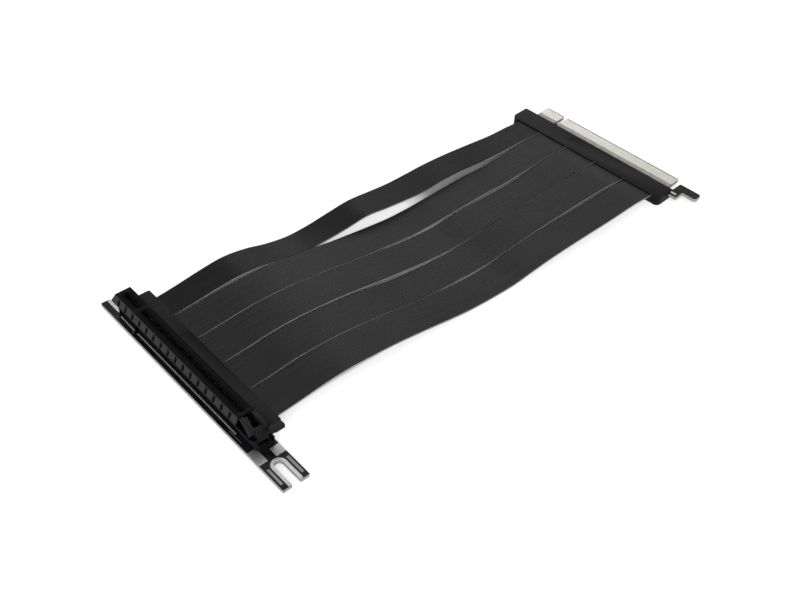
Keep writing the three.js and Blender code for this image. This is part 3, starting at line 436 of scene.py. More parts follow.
class Sketch:
    """Collects solids in a sub-assembly's millimetres, then makes one mesh of them."""

    def __init__(self, place: Place) -> None:
        """Starts an empty mesh."""
        self.place = place
        self.mesh = bmesh.new()

    def prism(
        self, outline: Outline, z0: float, z1: float, material: int = 0, side: Optional[int] = None
    ) -> None:
        """Raises an outline, anticlockwise from above, from z0 to z1.

        Args:
            outline: its points.
            z0: the lower height.
            z1: the upper height.
            material: the slot of the top and bottom.
            side: the slot of the walls, or the same one if None.
        """
        low = [self.mesh.verts.new((x, y, z0)) for x, y in outline]
        high = [self.mesh.verts.new((x, y, z1)) for x, y in outline]
        caps = [self.mesh.faces.new(list(reversed(low))), self.mesh.faces.new(high)]
        for face in caps:
            face.material_index = material
        count = len(outline)
        for i in range(count):
            j = (i + 1) % count
            wall = self.mesh.faces.new((low[i], low[j], high[j], high[i]))
            wall.material_index = material if side is None else side

    def band(self, outer: Outline, inner: Outline, z0: float, z1: float) -> None:
        """A raised open strip between two outlines with as many points.

        Args:
            outer: the outer points.
            inner: the inner points.
            z0: the lower height.
            z1: the upper height.
        """
        rings = [
            [self.mesh.verts.new((x, y, z)) for x, y in edge]
            for edge, z in ((outer, z0), (outer, z1), (inner, z1), (inner, z0))
        ]
        for i in range(len(outer) - 1):
            for a, b in ((0, 1), (1, 2), (2, 3), (3, 0)):
                self.mesh.faces.new((rings[a][i], rings[a][i + 1], rings[b][i + 1], rings[b][i]))
        self.mesh.faces.new([ring[0] for ring in rings])
        self.mesh.faces.new([ring[-1] for ring in reversed(rings)])

    def plate(
        self,
        outlines: Sequence[Outline],
        thickness: float,
        where: Matrix,
        bevel: float = 0.05,
        material: int = 0,
    ) -> None:
        """Adds a plate with holes and softened edges, centred on its own plane.

        Args:
            outlines: the outer outline, then the holes.
            thickness: from face to face.
            where: from the plate's plane to the sub-assembly.
            bevel: the rounding of its edges.
            material: the slot of its faces.
        """
        curve = bpy.data.curves.new("plate", "CURVE")
        curve.dimensions = "2D"
        curve.fill_mode = "BOTH"
        curve.extrude = thickness / 2 - bevel
        curve.bevel_depth = bevel
        curve.bevel_resolution = 1
        curve.offset = -bevel
        for outline in outlines:
            spline = curve.splines.new("POLY")
            spline.points.add(len(outline) - 1)
            for point, (x, y) in zip(spline.points, outline):
                point.co = (x, y, 0, 1)
            spline.use_cyclic_u = True
        holder = bpy.data.objects.new("plate", curve)
        bpy.context.scene.collection.objects.link(holder)
        mesh = evaluated(holder)
        mesh.transform(where)
        mesh.polygons.foreach_set("material_index", [material] * len(mesh.polygons))
        self.mesh.from_mesh(mesh)
        bpy.data.objects.remove(holder)
        bpy.data.curves.remove(curve)
        bpy.data.meshes.remove(mesh)

    def block(self, low: Point, high: Point, material: int = 0) -> None:
        """Adds a plain block between two corners."""
        self.prism(rectangle(low[0], low[1], high[0], high[1]), low[2], high[2], material)

    def tube(self, rings: Sequence[Sequence[Point]]) -> None:
        """Joins rings of points into one closed skin."""
        made = [[self.mesh.verts.new(point) for point in ring] for ring in rings]
        count = len(made[0])
        for near, far in zip(made, made[1:]):
            for i in range(count):
                j = (i + 1) % count
                self.mesh.faces.new((near[i], near[j], far[j], far[i]))
        self.mesh.faces.new(list(reversed(made[0])))
        self.mesh.faces.new(made[-1])

    def finish(self, name: str, *materials: bpy.types.Material, smooth: bool = False) -> bpy.types.Object:
        """Makes the object and places its mesh.

        Args:
            name: the piece's name.
            materials: its materials.
            smooth: whether faces are shaded smoothly.

        Returns:
            The object at the origin.
        """
        bmesh.ops.recalc_face_normals(self.mesh, faces=self.mesh.faces)
        mesh = bpy.data.meshes.new(name)
        self.mesh.to_mesh(mesh)
        self.mesh.free()
        mesh.transform(self.place.matrix())
        if smooth:
            mesh.polygons.foreach_set("use_smooth", [True] * len(mesh.polygons))
        return finish_object(name, mesh, *materials)


def arc(x: float, y: float, radius: float, start: float, end: float, steps: int) -> Outline:
    """Points on an arc, angles in degrees."""
    angles = [math.radians(start + (end - start) * i / steps) for i in range(steps + 1)]
    return [(x + radius * math.cos(angle), y + radius * math.sin(angle)) for angle in angles]


def slit_outline(u: float, v: float, width: float, length: float) -> Outline:
    """A slit with round ends, along the second axis."""
    straight = (length - width) / 2
    return arc(u, v + straight, width / 2, 0, 180, 6) + arc(u, v - straight, width / 2, 180, 360, 6)


class ContactRow:
    """A Geometry Nodes tree that stands copies of a small mesh in the contact pattern.

    The pattern is a short group and a long group at one pitch, with two places left free
    for the key, and a second row turned half round.
    """

    SHORT = 11
    ALL = 82
    KEY_PLACES = 2
    PITCH = 1.0

    def __init__(self) -> None:
        """Builds the tree with its named inputs."""
        self.tree = bpy.data.node_groups.new("contact pattern", "GeometryNodeTree")
        for label, kind in (
            ("Geometry", "NodeSocketGeometry"),
            ("Template", "NodeSocketObject"),
            ("Material", "NodeSocketMaterial"),
            ("First", "NodeSocketVector"),
            ("Pitch", "NodeSocketFloat"),
            ("Count", "NodeSocketInt"),
            ("Short count", "NodeSocketInt"),
            ("Key places", "NodeSocketInt"),
            ("Second row shift", "NodeSocketVector"),
            ("Second row turn", "NodeSocketVector"),
        ):
            self.tree.interface.new_socket(label, in_out="INPUT", socket_type=kind)
        self.tree.interface.new_socket("Geometry", in_out="OUTPUT", socket_type="NodeSocketGeometry")
        self._wire()

    def _add(
        self, kind: str, settings: dict[str, object], inputs: dict[object, object]
    ) -> bpy.types.NodeSocket:
        """Adds a node to the tree and gives its first output."""
        return add_node(self.tree, kind, settings, inputs).outputs[0]

    def _wire(self) -> None:
        """Lays out the tree's nodes."""
        given = self.tree.nodes.new("NodeGroupInput").outputs
        index = self._add("GeometryNodeInputIndex", {}, {})
        later = {"data_type": "INT", "operation": "GREATER_EQUAL"}
        past = self._add("FunctionNodeCompare", later, {2: index, 3: given["Short count"]})
        times, plus = {"operation": "MULTIPLY"}, {"operation": "ADD"}
        skipped = self._add("ShaderNodeMath", times, {0: past, 1: given["Key places"]})
        place = self._add("ShaderNodeMath", plus, {0: index, 1: skipped})
        along = self._add("ShaderNodeMath", times, {0: place, 1: given["Pitch"]})
        step = self._add("ShaderNodeCombineXYZ", {}, {0: along})
        spot = self._add("ShaderNodeVectorMath", plus, {0: step, 1: given["First"]})
        points = self._add("GeometryNodePoints", {}, {"Count": given["Count"], "Position": spot})
        source = {"Object": given["Template"]}
        info = add_node(self.tree, "GeometryNodeObjectInfo", {"transform_space": "ORIGINAL"}, source)
        copy = info.outputs["Geometry"]
        shifted = {"Geometry": points, "Offset": given["Second row shift"]}
        moved = self._add("GeometryNodeSetPosition", {}, shifted)
        first = self._add("GeometryNodeInstanceOnPoints", {}, {"Points": points, "Instance": copy})
        turn = self._add("FunctionNodeEulerToRotation", {}, {0: given["Second row turn"]})
        turned = {"Points": moved, "Instance": copy, "Rotation": turn}
        second = self._add("GeometryNodeInstanceOnPoints", {}, turned)
        join = self.tree.nodes.new("GeometryNodeJoinGeometry")
        self.tree.links.new(second, join.inputs[0])
        self.tree.links.new(first, join.inputs[0])
        real = self._add("GeometryNodeRealizeInstances", {}, {"Geometry": join.outputs[0]})
        painted = {"Geometry": real, "Material": given["Material"]}
        dressed = self._add("GeometryNodeSetMaterial", {}, painted)
        out = self.tree.nodes.new("NodeGroupOutput")
        self.tree.links.new(dressed, out.inputs[0])

    def bake(
        self,
        name: str,
        rings: Sequence[Sequence[Point]],
        material: bpy.types.Material,
        place: Place,
        first: Point,
        shift: Point,
        turn: Point,
    ) -> None:
        """Makes one metal piece of both rows, as a plain mesh.

        Args:
            name: the piece's name.
            rings: the rings of points that one contact is drawn through.
            material: the copies' material.
            place: the sub-assembly that the rows stand in.
            first: the first contact's place in millimetres.
            shift: from the first row to the second.
            turn: how the second row's copies are turned, in degrees.
        """
        template = template_from(rings)
        holder = finish_object(name, bpy.data.meshes.new(name))
        modifier = holder.modifiers.new("rows", "NODES")
        modifier.node_group = self.tree
        values = {
            "Template": template,
            "Material": material,
            "First": first,
            "Pitch": self.PITCH,
            "Count": self.ALL,
            "Short count": self.SHORT,
            "Key places": self.KEY_PLACES,
            "Second row shift": shift,
            "Second row turn": tuple(math.radians(angle) for angle in turn),
        }
        for item in self.tree.interface.items_tree:
            if item.in_out == "INPUT" and item.name in values:
                modifier[item.identifier] = values[item.name]
        mesh = evaluated(holder)
        holder.modifiers.clear()
        mesh.transform(place.matrix())
        mesh.name = name
        holder.data = mesh
        bpy.data.objects.remove(template)
        settle(holder, Body.CABLE, Slot.METAL)


def template_from(rings: Sequence[Sequence[Point]]) -> bpy.types.Object:
    """A small closed mesh through rings of points, in millimetres."""
    sketch = Sketch(HERE)
    sketch.tube(rings)
    made = sketch.finish("template")
    made.data.transform(Matrix.Scale(1 / MM, 4))
    return made


def strip(section: Sequence[tuple[float, float]], width: float) -> list[list[Point]]:
    """Two rings that draw a [y, z] outline out along X, centred on zero."""
    return [[(x, y, z) for y, z in section] for x in (-width / 2, width / 2)]


def settle(piece: bpy.types.Object, body: Body, slot: Slot, *nodes: str) -> None:
    """Gives a piece its body and hides the CAD nodes that it stands for."""
    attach(piece, body.value)
    if nodes:
        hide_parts(*nodes)
    log.info("%s: %d faces on %s", piece.name, len(piece.data.polygons), body.value)


def soften(node: str, name: str, bevel: float, material: bpy.types.Material, body: Body, slot: Slot) -> None:
    """Stands a copy with rounded edges in for a CAD node.

    Args:
        node: the CAD node.
        name: the new piece's name.
        bevel: the rounding in millimetres.
        material: the new piece's material.
        body: the body that it rides on.
        slot: its material slot in the record; not used.
    """
    work = cad_mesh(node)
    flat, crease, shading = math.radians(0.6), math.radians(25), math.radians(35)
    bmesh.ops.dissolve_limit(work, angle_limit=flat, verts=work.verts, edges=work.edges)
    sharp = [edge for edge in work.edges if edge.is_manifold and edge.calc_face_angle(0) > crease]
    bmesh.ops.bevel(
        work,
        geom=sharp,
        offset=bevel * MM,
        offset_type="OFFSET",
        segments=2,
        profile=0.5,
        affect="EDGES",
        clamp_overlap=True,
    )
    mesh = bpy.data.meshes.new(name)
    work.to_mesh(mesh)
    work.free()
    mesh.polygons.foreach_set("use_smooth", [True] * len(mesh.polygons))
    mesh.set_sharp_from_angle(angle=shading)
    settle(finish_object(name, mesh, material), body, slot, node)


def dress_solder_ends(end: str, material: bpy.types.Material) -> None:
    """Gives one material to the five CAD solder ends inside a moulding."""
    for index in range(1, 6):
        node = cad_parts[f"{end}_solder_end_{index}"]
        node.data.materials.clear()
        node.data.materials.append(material)


# The cable's sub-assemblies

MARK_LOW, MARK_HIGH = -0.01, 0.03


@dataclass
class Ribbons:
    """The five flat ribbons, each along its own route from one moulding to the other."""

    slot_edges: tuple[float, ...] = (1.8, 16.7, 34.4, 52.8, 71.3, 89.8)
    plug_edges: tuple[float, ...] = (-2.2, 12.7, 30.1, 48.0, 65.9, 83.1)
    slot_face: float = 13.2
    plug_face: float = -22.1
    hold: float = 3.8
    gap: float = 0.5
    thickness: float = 1.2
    rib_pitch: float = 0.95
    rib_depth: float = 0.2
    flange: float = 0.62
    flange_drop: float = 0.7
    steps: int = 132
    measured: int = 60
    left: tuple[tuple[float, ...], ...] = (
        (4.7, 6.1, 8, 9.3, 8.1, 5.3, 3.9, 4.8, 6.8, 8.6, 8.3, 7.9, 8.4, 9.1, 9, 8.3, 7.2, 6, 5.5, 4.5),
        (4.7, 5.6, 6.9, 7.5, 7.4, 6.5, 5.5, 4, 3, 2.1, 1.5, 1.9, 2.8, 3.7, 4.5, 4.2, 4.8, 5.3, 5.7, 4.5),
        (4.7, 5.6, 7, 7.7, 7.5, 6.8, 5.6, 4.2, 3, 1.8, 1.3, 1.3, 2.5, 3.2, 3.1, 3.3, 3.9, 5.4, 6, 4.5),
        (4.7, 5.5, 6.9, 7.4, 7.2, 6.2, 5, 3.2, 2, 1.4, 1.3, 1.6, 3, 4.5, 5.6, 6.4, 6.8, 6.9, 6.4, 4.5),
        (4.7, 5.6, 7, 7.8, 7.4, 6.8, 5.6, 4.1, 2.5, 1.5, 1.3, 1.7, 3.4, 4.7, 5.4, 5.7, 5.7, 5.8, 5.7, 4.5),
    )
    first_right: tuple[float, ...] = (
        4.7, 5.8, 7.2, 8.2, 7.5, 5.7, 4.5, 4.9, 6.3, 8.1, 7.3, 6.6, 6.3, 7.4, 7.5, 6.7, 6.3, 6, 5.7, 4.5,
    )

    @staticmethod
    def _height(heights: Sequence[float], t: float) -> float:
        """A smooth curve through evenly spaced heights, at t from 0 to 1."""
        last = len(heights) - 1
        spot = min(max(t, 0.0), 1.0) * last
        index = min(int(spot), last - 1)
        part = spot - index
        p0, p1 = heights[max(index - 1, 0)], heights[index]
        p2, p3 = heights[index + 1], heights[min(index + 2, last)]
        v0, v1 = (p2 - p0) / 2, (p3 - p1) / 2
        cube = (2 * p1 - 2 * p2 + v0 + v1) * part**3
        square = (-3 * p1 + 3 * p2 - 2 * v0 - v1) * part**2
        return cube + square + v0 * part + p1

    @staticmethod
    def _bezier(points: Sequence[Vector], t: float) -> Vector:
        """A point of a cubic Bezier curve."""
        u = 1 - t
        weights = (u**3, 3 * u * u * t, 3 * u * t * t, t**3)
        return sum((point * weight for point, weight in zip(points, weights)), Vector((0, 0)))

    def _edge(
        self, slot: Place, plug: Place, slot_x: float, plug_x: float
    ) -> tuple[list[Vector], Vector, Vector]:
        """One edge's plan: its curve's four points, and its hidden end in each moulding."""
        start = Vector(slot.point(slot_x, self.slot_face, 0)[:2]) / MM
        end = Vector(plug.point(plug_x, self.plug_face, 0)[:2]) / MM
        reach = (end - start).length / 3
        heading = Vector((-math.sin(plug.turn), math.cos(plug.turn)))
        curve = [start, start + Vector((0, reach)), end - heading * reach, end]
        in_slot = Vector(slot.point(slot_x, self.slot_face - self.hold, 0)[:2]) / MM
        in_plug = Vector(plug.point(plug_x, self.plug_face + self.hold, 0)[:2]) / MM
        return curve, in_slot, in_plug

    def _stations(
        self, curve: list[Vector], in_slot: Vector, in_plug: Vector, heights: Sequence[float]
    ) -> list[tuple[Vector, float]]:
        """One edge's upper points with their slope, from inside one moulding to inside the other."""
        length = (curve[3] - curve[0]).length
        spots = [(Vector((*in_slot, heights[0])), 0.0)]
        nudge = 0.01
        for step in range(self.steps + 1):
            t = step / self.steps
            low, high = max(t - nudge, 0), min(t + nudge, 1)
            rise = self._height(heights, high) - self._height(heights, low)
            lean = 0.0 if step in (0, self.steps) else rise / (length * (high - low))
            point = self._bezier(curve, t)
            spots.append((Vector((*point, self._height(heights, t))), lean))
        spots.append((Vector((*in_plug, heights[-1])), 0.0))
        return spots

    def _ring(self, ribs: int, left: tuple[Vector, float], right: tuple[Vector, float]) -> list[Vector]:
        """The ribbed section between two edge points."""
        count = ribs * 4
        width = (right[0] - left[0]).length
        down = []
        top = []
        for i in range(count + 1):
            share = i / count
            crest = 0.5 - 0.5 * math.cos(2 * math.pi * share * ribs)
            sink = self.rib_depth * (1 - crest)
            point = left[0].lerp(right[0], share)
            lean = left[1] + (right[1] - left[1]) * share
            normal = Vector((0, -lean, 1)).normalized()
            drop = self.flange_drop if share * width < self.flange else 0.0
            top.append(point - normal * (sink + drop))
            down.append(point - normal * (self.thickness - sink))
        return top + list(reversed(down))

    def build(self, slot: Place, plug: Place, finishes: Finishes) -> None:
        """Makes the five ribbons and logs each one's length along its middle.

        Args:
            slot: the slot end's place.
            plug: the plug end's place.
            finishes: the materials.
        """
        for index, heights in enumerate(self.left):
            edges = []
            for side, shift in ((0, self.gap / 2), (1, -self.gap / 2)):
                route = self.first_right if side and index == 0 else heights
                slot_x = self.slot_edges[index + side] + shift
                plug_x = self.plug_edges[index + side] + shift
                edges.append(self._stations(*self._edge(slot, plug, slot_x, plug_x), route))
            width = (edges[0][self.measured][0] - edges[1][self.measured][0]).length
            ribs = round(width / self.rib_pitch)
            sketch = Sketch(HERE)
            sketch.tube([self._ring(ribs, *pair) for pair in zip(*edges)])
            # The first ribbon takes the darker jacket copy: painted shade.
            jacket = finishes.jacket if index else finishes.first_ribbon_painted_shade_jacket
            piece = sketch.finish(f"ribbon_{index + 1}_jacket", jacket, finishes.ribbon_side_painted_highlight, smooth=True)
            # Faces turned to +X get the lighter jacket copy: a painted highlight along each ribbon's side.
            for face in piece.data.polygons:
                if face.normal.x > 0.8:
                    face.material_index = 1
            piece.data.set_sharp_from_angle(angle=math.radians(60))
            path = []
            for (a, lean_a), (b, lean_b) in zip(*edges):
                normal = Vector((0, -(lean_a + lean_b) / 2, 1)).normalized()
                path.append(((a + b) / 2 - normal * self.thickness / 2) * MM)
            length = sum((b - a).length for a, b in zip(path, path[1:]))
            settle(piece, Body.CABLE, Slot.RIBBON, f"ribbon_{index + 1}")
            log.info("%s: %.1f mm long, %.1f mm wide", piece.name, length / MM, width)


@dataclass
class SlotEnd:
    """The card slot, its board, its latch and the moulding over the ribbons' ends."""

    place: Place
    board_left: float = -10.1
    board_right: float = 119.6
    board_half: float = 6.3
    notch_half: float = 1.9
    notch_end: float = 106.9
    left_notch_end: float = 0.2
    board_thickness: float = 1.6
    plating: float = 0.08
    slot_height: float = 11.25
    slot_length: float = 88.4
    first_contact: float = 3.0
    lead_row: float = 3.75
    lead_width: float = 0.5
    spring_width: float = 0.3
    moulding_round: float = 0.25
    latch_round: float = 0.12
    groove_half: float = 0.95
    chamber_half: float = 2.25
    chamber_width: float = 0.6
    cavities: tuple[tuple[float, float, int], ...] = ((1.95, 13.6, 11), (15.4, 87.05, 71))
    top_half: float = 3.6
    body_half: float = 3.4
    skirt_depth: float = 3.65
    skirt_flare: float = 1.6
    end_flare: float = 1.45
    skirt_wall: float = 0.5
    lip: float = 0.38
    skirt_rim: float = 0.25
    slit_first: float = 3.75
    slit_pitch: float = 5.333
    slit_count: int = 16
    slit_width: float = 1.7
    slit_length: float = 3.15
    slit_middle: float = 0.52
    window_width: float = 0.56
    window_rows: tuple[float, float] = (2.62, 3.22)
    key_places: int = 2
    top_thickness: float = 2.4
    side_wall: float = 0.9
    left_wall: tuple[float, float] = (0.4, 1.6)
    key_wall: tuple[float, float] = (13.6, 15.4)
    right_wall: float = 1.35
    wall_foot: float = 0.2
    floor_top: float = 2.15

    def board(self, finishes: Finishes) -> None:
        """The board: black mask above and below, pale cut edge, tinned pads and ring."""
        round_corner = 0.35
        half, left, right = self.board_half, self.board_left, self.board_right
        notch = self.notch_half
        tongue_left, tongue_right, tongue_back = -1.0, 91.5, 11.0
        outline = (
            arc(left + round_corner, round_corner - half, round_corner, 180, 270, 5)
            + arc(right - round_corner, round_corner - half, round_corner, 270, 360, 5)
            + arc(right - round_corner, -notch - round_corner, round_corner, 0, 90, 5)
            + arc(self.notch_end + notch, 0, notch, 270, 90, 14)
            + arc(right - round_corner, notch + round_corner, round_corner, 270, 360, 5)
            + arc(right - round_corner, half - round_corner, round_corner, 0, 90, 5)
            + [(tongue_right, half), (tongue_right, tongue_back)]
            + [(tongue_left, tongue_back), (tongue_left, half)]
            + arc(left + round_corner, half - round_corner, round_corner, 90, 180, 5)
            + arc(left + round_corner, notch + round_corner, round_corner, 180, 270, 5)
            + arc(self.left_notch_end - notch, 0, notch, 90, -90, 14)
            + arc(left + round_corner, -notch - round_corner, round_corner, 90, 180, 5)
        )
        sketch = Sketch(self.place)
        sketch.prism(outline, -self.board_thickness, 0, 0, 1)
        piece = sketch.finish("slot_board_laminate", finishes.mask, finishes.slot_edge)
        settle(piece, Body.CABLE, Slot.BOARD, "slot_board")
        self._plating(finishes)
        self._ink(finishes)

    def _plating(self, finishes: Finishes) -> None:
        """The tinned pads beside the latch and the plated border round each screw notch."""
        sketch = Sketch(self.place)
        high = self.plating
        low = -0.02
        sketch.block((96.8, -6.25, low), (104.7, -2.2, high))
        sketch.block((100.3, 1.7, low), (104.9, 6.25, high))
        border, clearance, set_back, slant = 1.5, 0.05, 0.12, 0.1
        under = -self.board_thickness
        for end, way in ((self.board_right, 1), (self.board_left, -1)):
            inner_end = self.notch_end if way > 0 else self.left_notch_end
            centre = inner_end + way * self.notch_half
            for z0, z1 in ((low, high), (under - high, under - low)):
                span = (270, 90) if way > 0 else (90, -90)
                inner = arc(centre, 0, self.notch_half + clearance, *span, 16)
                outer = arc(centre, 0, self.notch_half + border, *span, 16)
                tip = end - way * set_back
                sign = -1 if inner[0][1] < 0 else 1
                inner = [(tip, inner[0][1])] + inner + [(tip, inner[-1][1])]
                outer = [(tip - way * slant, sign * (self.notch_half + border))] + outer
                outer.append((tip - way * slant, -sign * (self.notch_half + border)))
                sketch.band(outer, inner, z0, z1)
        piece = sketch.finish("slot_board_plating", finishes.tin)
        settle(piece, Body.CABLE, Slot.METAL)

    def _ink(self, finishes: Finishes) -> None:
        """The printed dashes and the plain panels on the fingers."""
        sketch = Sketch(self.place)
        thin = 0.12
        line = -4.95
        for x0, x1, y0, y1 in (
            (0.4, 2.2, line, line + thin),
            (12.6, 14.6, line, line + thin),
            (83.3, 91.4, line, line + thin),
            (107.4, 117.2, 4.3, 5.5),
            (108.0, 117.0, -5.3, -4.2),
        ):
            sketch.block((x0, y0, MARK_LOW), (x1, y1, MARK_HIGH))
        piece = sketch.finish("slot_board_print", finishes.ink)
        settle(piece, Body.CABLE, Slot.BOARD)

    def leads(self, rows: ContactRow, finishes: Finishes) -> None:
        """The contacts' soldered tails along both sides of the slot, each with its solder."""
        section = [
            (0.15, 0.02), (0.15, 0.36), (-0.1, 0.32), (-0.28, 0.24), (-0.42, 0.12), (-0.48, 0.02),
        ]
        rings = strip(section, self.lead_width)
        first = (self.first_contact, -self.lead_row, 0.0)
        across = (0, 2 * self.lead_row, 0)
        rows.bake("contact_tails", rings, finishes.tin, self.place, first, across, (0, 0, 180))

    def springs(self, rows: ContactRow, finishes: Finishes) -> None:
        """The contact springs that stand in the slot's chambers."""
        section = [
            (-1.55, -8.6), (-1.3, -8.6), (-1.2, -5.5), (-0.7, -3.8), (-0.62, -3.1), (-0.9, -2.2),
            (-1.5, -1.5), (-1.65, -1.65), (-1.1, -2.35), (-0.88, -3.1), (-0.95, -3.9), (-1.45, -5.5),
        ]
        first = (self.first_contact, 0.0, self.slot_height)
        rings = strip(section, self.spring_width)
        rows.bake("contact_springs", rings, finishes.spring, self.place, first, (0, 0, 0), (0, 0, 180))

    def _groove(self, x0: float, x1: float, first: float, count: int) -> Outline:
        """The outline of one cavity with its contact chambers."""
        near = []
        half, back = self.groove_half, self.chamber_half
        for i in range(count):
            centre = first + i
            a, b = centre - self.chamber_width / 2, centre + self.chamber_width / 2
            near += [(a, -half), (a, -back), (b, -back), (b, -half)]
        far = [(x, -y) for x, y in reversed(near)]
        return [(x0, -half)] + near + [(x1, -half), (x1, half)] + far + [(x0, half)]

    def _top(self, sketch: Sketch) -> None:
        """The top face with card groove, contact chambers and the row of windows beside them."""
        length, half = self.slot_length, self.top_half
        outlines = [rectangle(0, -half, length, half)]
        first = self.first_contact
        for x0, x1, count in self.cavities:
            outlines.append(self._groove(x0, x1, first, count))
            for i in range(count):
                a, b = first + i - self.window_width / 2, first + i + self.window_width / 2
                for side in (-1, 1):
                    y0, y1 = sorted(side * y for y in self.window_rows)
                    outlines.append(rectangle(a, y0, b, y1))
            first += count + self.key_places
        middle = Matrix.Translation((0, 0, self.slot_height - self.top_thickness / 2))
        sketch.plate(outlines, self.top_thickness, middle, 0.04)

    def _tilted(self, along: Vector, down: Vector, brim: Vector, way: int) -> Matrix:
        """From a tilted wall's plane to the slot end, with its outer face through the brim."""
        normal = along.cross(down)
        origin = brim + normal * (way * self.skirt_wall / 2)
        return Matrix.Translation(origin) @ Matrix((along, down, normal)).transposed().to_4x4()

    def _skirt(self, sketch: Sketch) -> None:
        """The flared skirt: two long slit walls and one end wall, over a rounded lip."""
        depth, flare, end, rim = self.skirt_depth, self.skirt_flare, self.end_flare, self.skirt_rim
        slope = math.hypot(depth, flare)
        foot = slope - self.lip * 0.6
        outer = [(0, rim), (self.slot_length, rim), (self.slot_length, foot), (-end * foot / slope, foot)]
        places_along = [self.slit_first + i * self.slit_pitch for i in range(self.slit_count)]
        middle = slope * self.slit_middle
        slits = [slit_outline(u, middle, self.slit_width, self.slit_length) for u in places_along]
        # Both long walls and the end wall take material 2, the skirt's lighter copy of the black: painted
        # light.
        for side in (-1, 1):
            down = Vector((0, side * flare, -depth)).normalized()
            brim = Vector((0, side * self.top_half, self.slot_height))
            where = self._tilted(Vector((1, 0, 0)), down, brim, -side)
            sketch.plate([outer] + slits, self.skirt_wall, where, material=2)
        steep = math.hypot(depth, end)
        down = Vector((-end, 0, -depth)).normalized()
        where = self._tilted(Vector((0, 1, 0)), down, Vector((0, 0, self.slot_height)), -1)
        low = self.top_half + flare * (steep - self.lip * 0.6) / steep
        edge = [(-self.top_half, rim), (self.top_half, rim), (low, steep - 0.2), (-low, steep - 0.2)]
        sketch.plate([edge], self.skirt_wall, where, material=2)
        x, y, z = self.lip - end, self.top_half + flare - self.lip, self.slot_height - depth
        ring = arc(0, 0, self.lip, 0, 330, 11)
        past = 0.1
        ends = (x - past, self.slot_length + past)
        for side in (-1, 1):
            sketch.tube([[(end_x, side * y + a, z + b) for a, b in ring] for end_x in ends])
        sketch.tube([[(x + a, end_y, z + b) for a, b in ring] for end_y in (-y - past, y + past)])

    def _bay(self, sketch: Sketch) -> None:
        """The latch bay, taken from the CAD housing beyond the end of the slot."""
        work = cad_mesh("slot_housing")
        overlap = 0.15
        cut = self.place.point(self.slot_length - overlap, 0, 0)
        everything = list(work.verts) + list(work.edges) + list(work.faces)
        bmesh.ops.bisect_plane(work, geom=everything, plane_co=cut, plane_no=(1, 0, 0), clear_inner=True)
        rim = [edge for edge in work.edges if edge.is_boundary]
        bmesh.ops.holes_fill(work, edges=rim, sides=0)
        mesh = bpy.data.meshes.new("bay")
        work.to_mesh(mesh)
        work.free()
        mesh.transform(self.place.matrix().inverted())
        sketch.mesh.from_mesh(mesh)
        bpy.data.meshes.remove(mesh)

    def housing(self, finishes: Finishes) -> None:
        """The slot's housing with its slit skirt, open grooves and the latch bay."""
        sketch = Sketch(self.place)
        length, half = self.slot_length, self.body_half
        foot, below = self.wall_foot, self.slot_height - self.top_thickness + 0.1
        inner = half - self.side_wall
        (left, left_end), (key, key_end) = self.left_wall, self.key_wall
        # Material 1, on the inner walls and the floor under the top, is the darker copy of the black: painted
        # shade in the groove.
        sketch.block((left, -half, foot), (length, -inner, below), 1)
        sketch.block((left, inner, foot), (length, half, below), 1)
        sketch.block((left, -half, foot), (left_end, half, below), 1)
        sketch.block((key, -half, foot), (key_end, half, below))
        sketch.block((length - self.right_wall, -half, foot), (length, half, below))
        sketch.block((left + 0.1, 0.1 - half, foot), (length - 0.1, half - 0.1, self.floor_top), 1)
        self._top(sketch)
        self._skirt(sketch)
        self._bay(sketch)
        piece = sketch.finish("slot_housing_shell", finishes.slot_black, finishes.slot_recess_painted_shade, finishes.skirt)
        settle(piece, Body.CABLE, Slot.SLOT, "slot_housing")

    def build(self, rows: ContactRow, finishes: Finishes) -> None:
        """Builds the slot end."""
        self.board(finishes)
        self.leads(rows, finishes)
        self.springs(rows, finishes)
        self.housing(finishes)
        shell = finishes.moulding_grey
        soften("slot_moulding", "slot_moulding_shell", self.moulding_round, shell, Body.CABLE, Slot.MOULDING)
        soften("latch", "latch_rocker", self.latch_round, finishes.latch_grey, Body.LATCH, Slot.LATCH)
        dress_solder_ends("slot", finishes.tin)


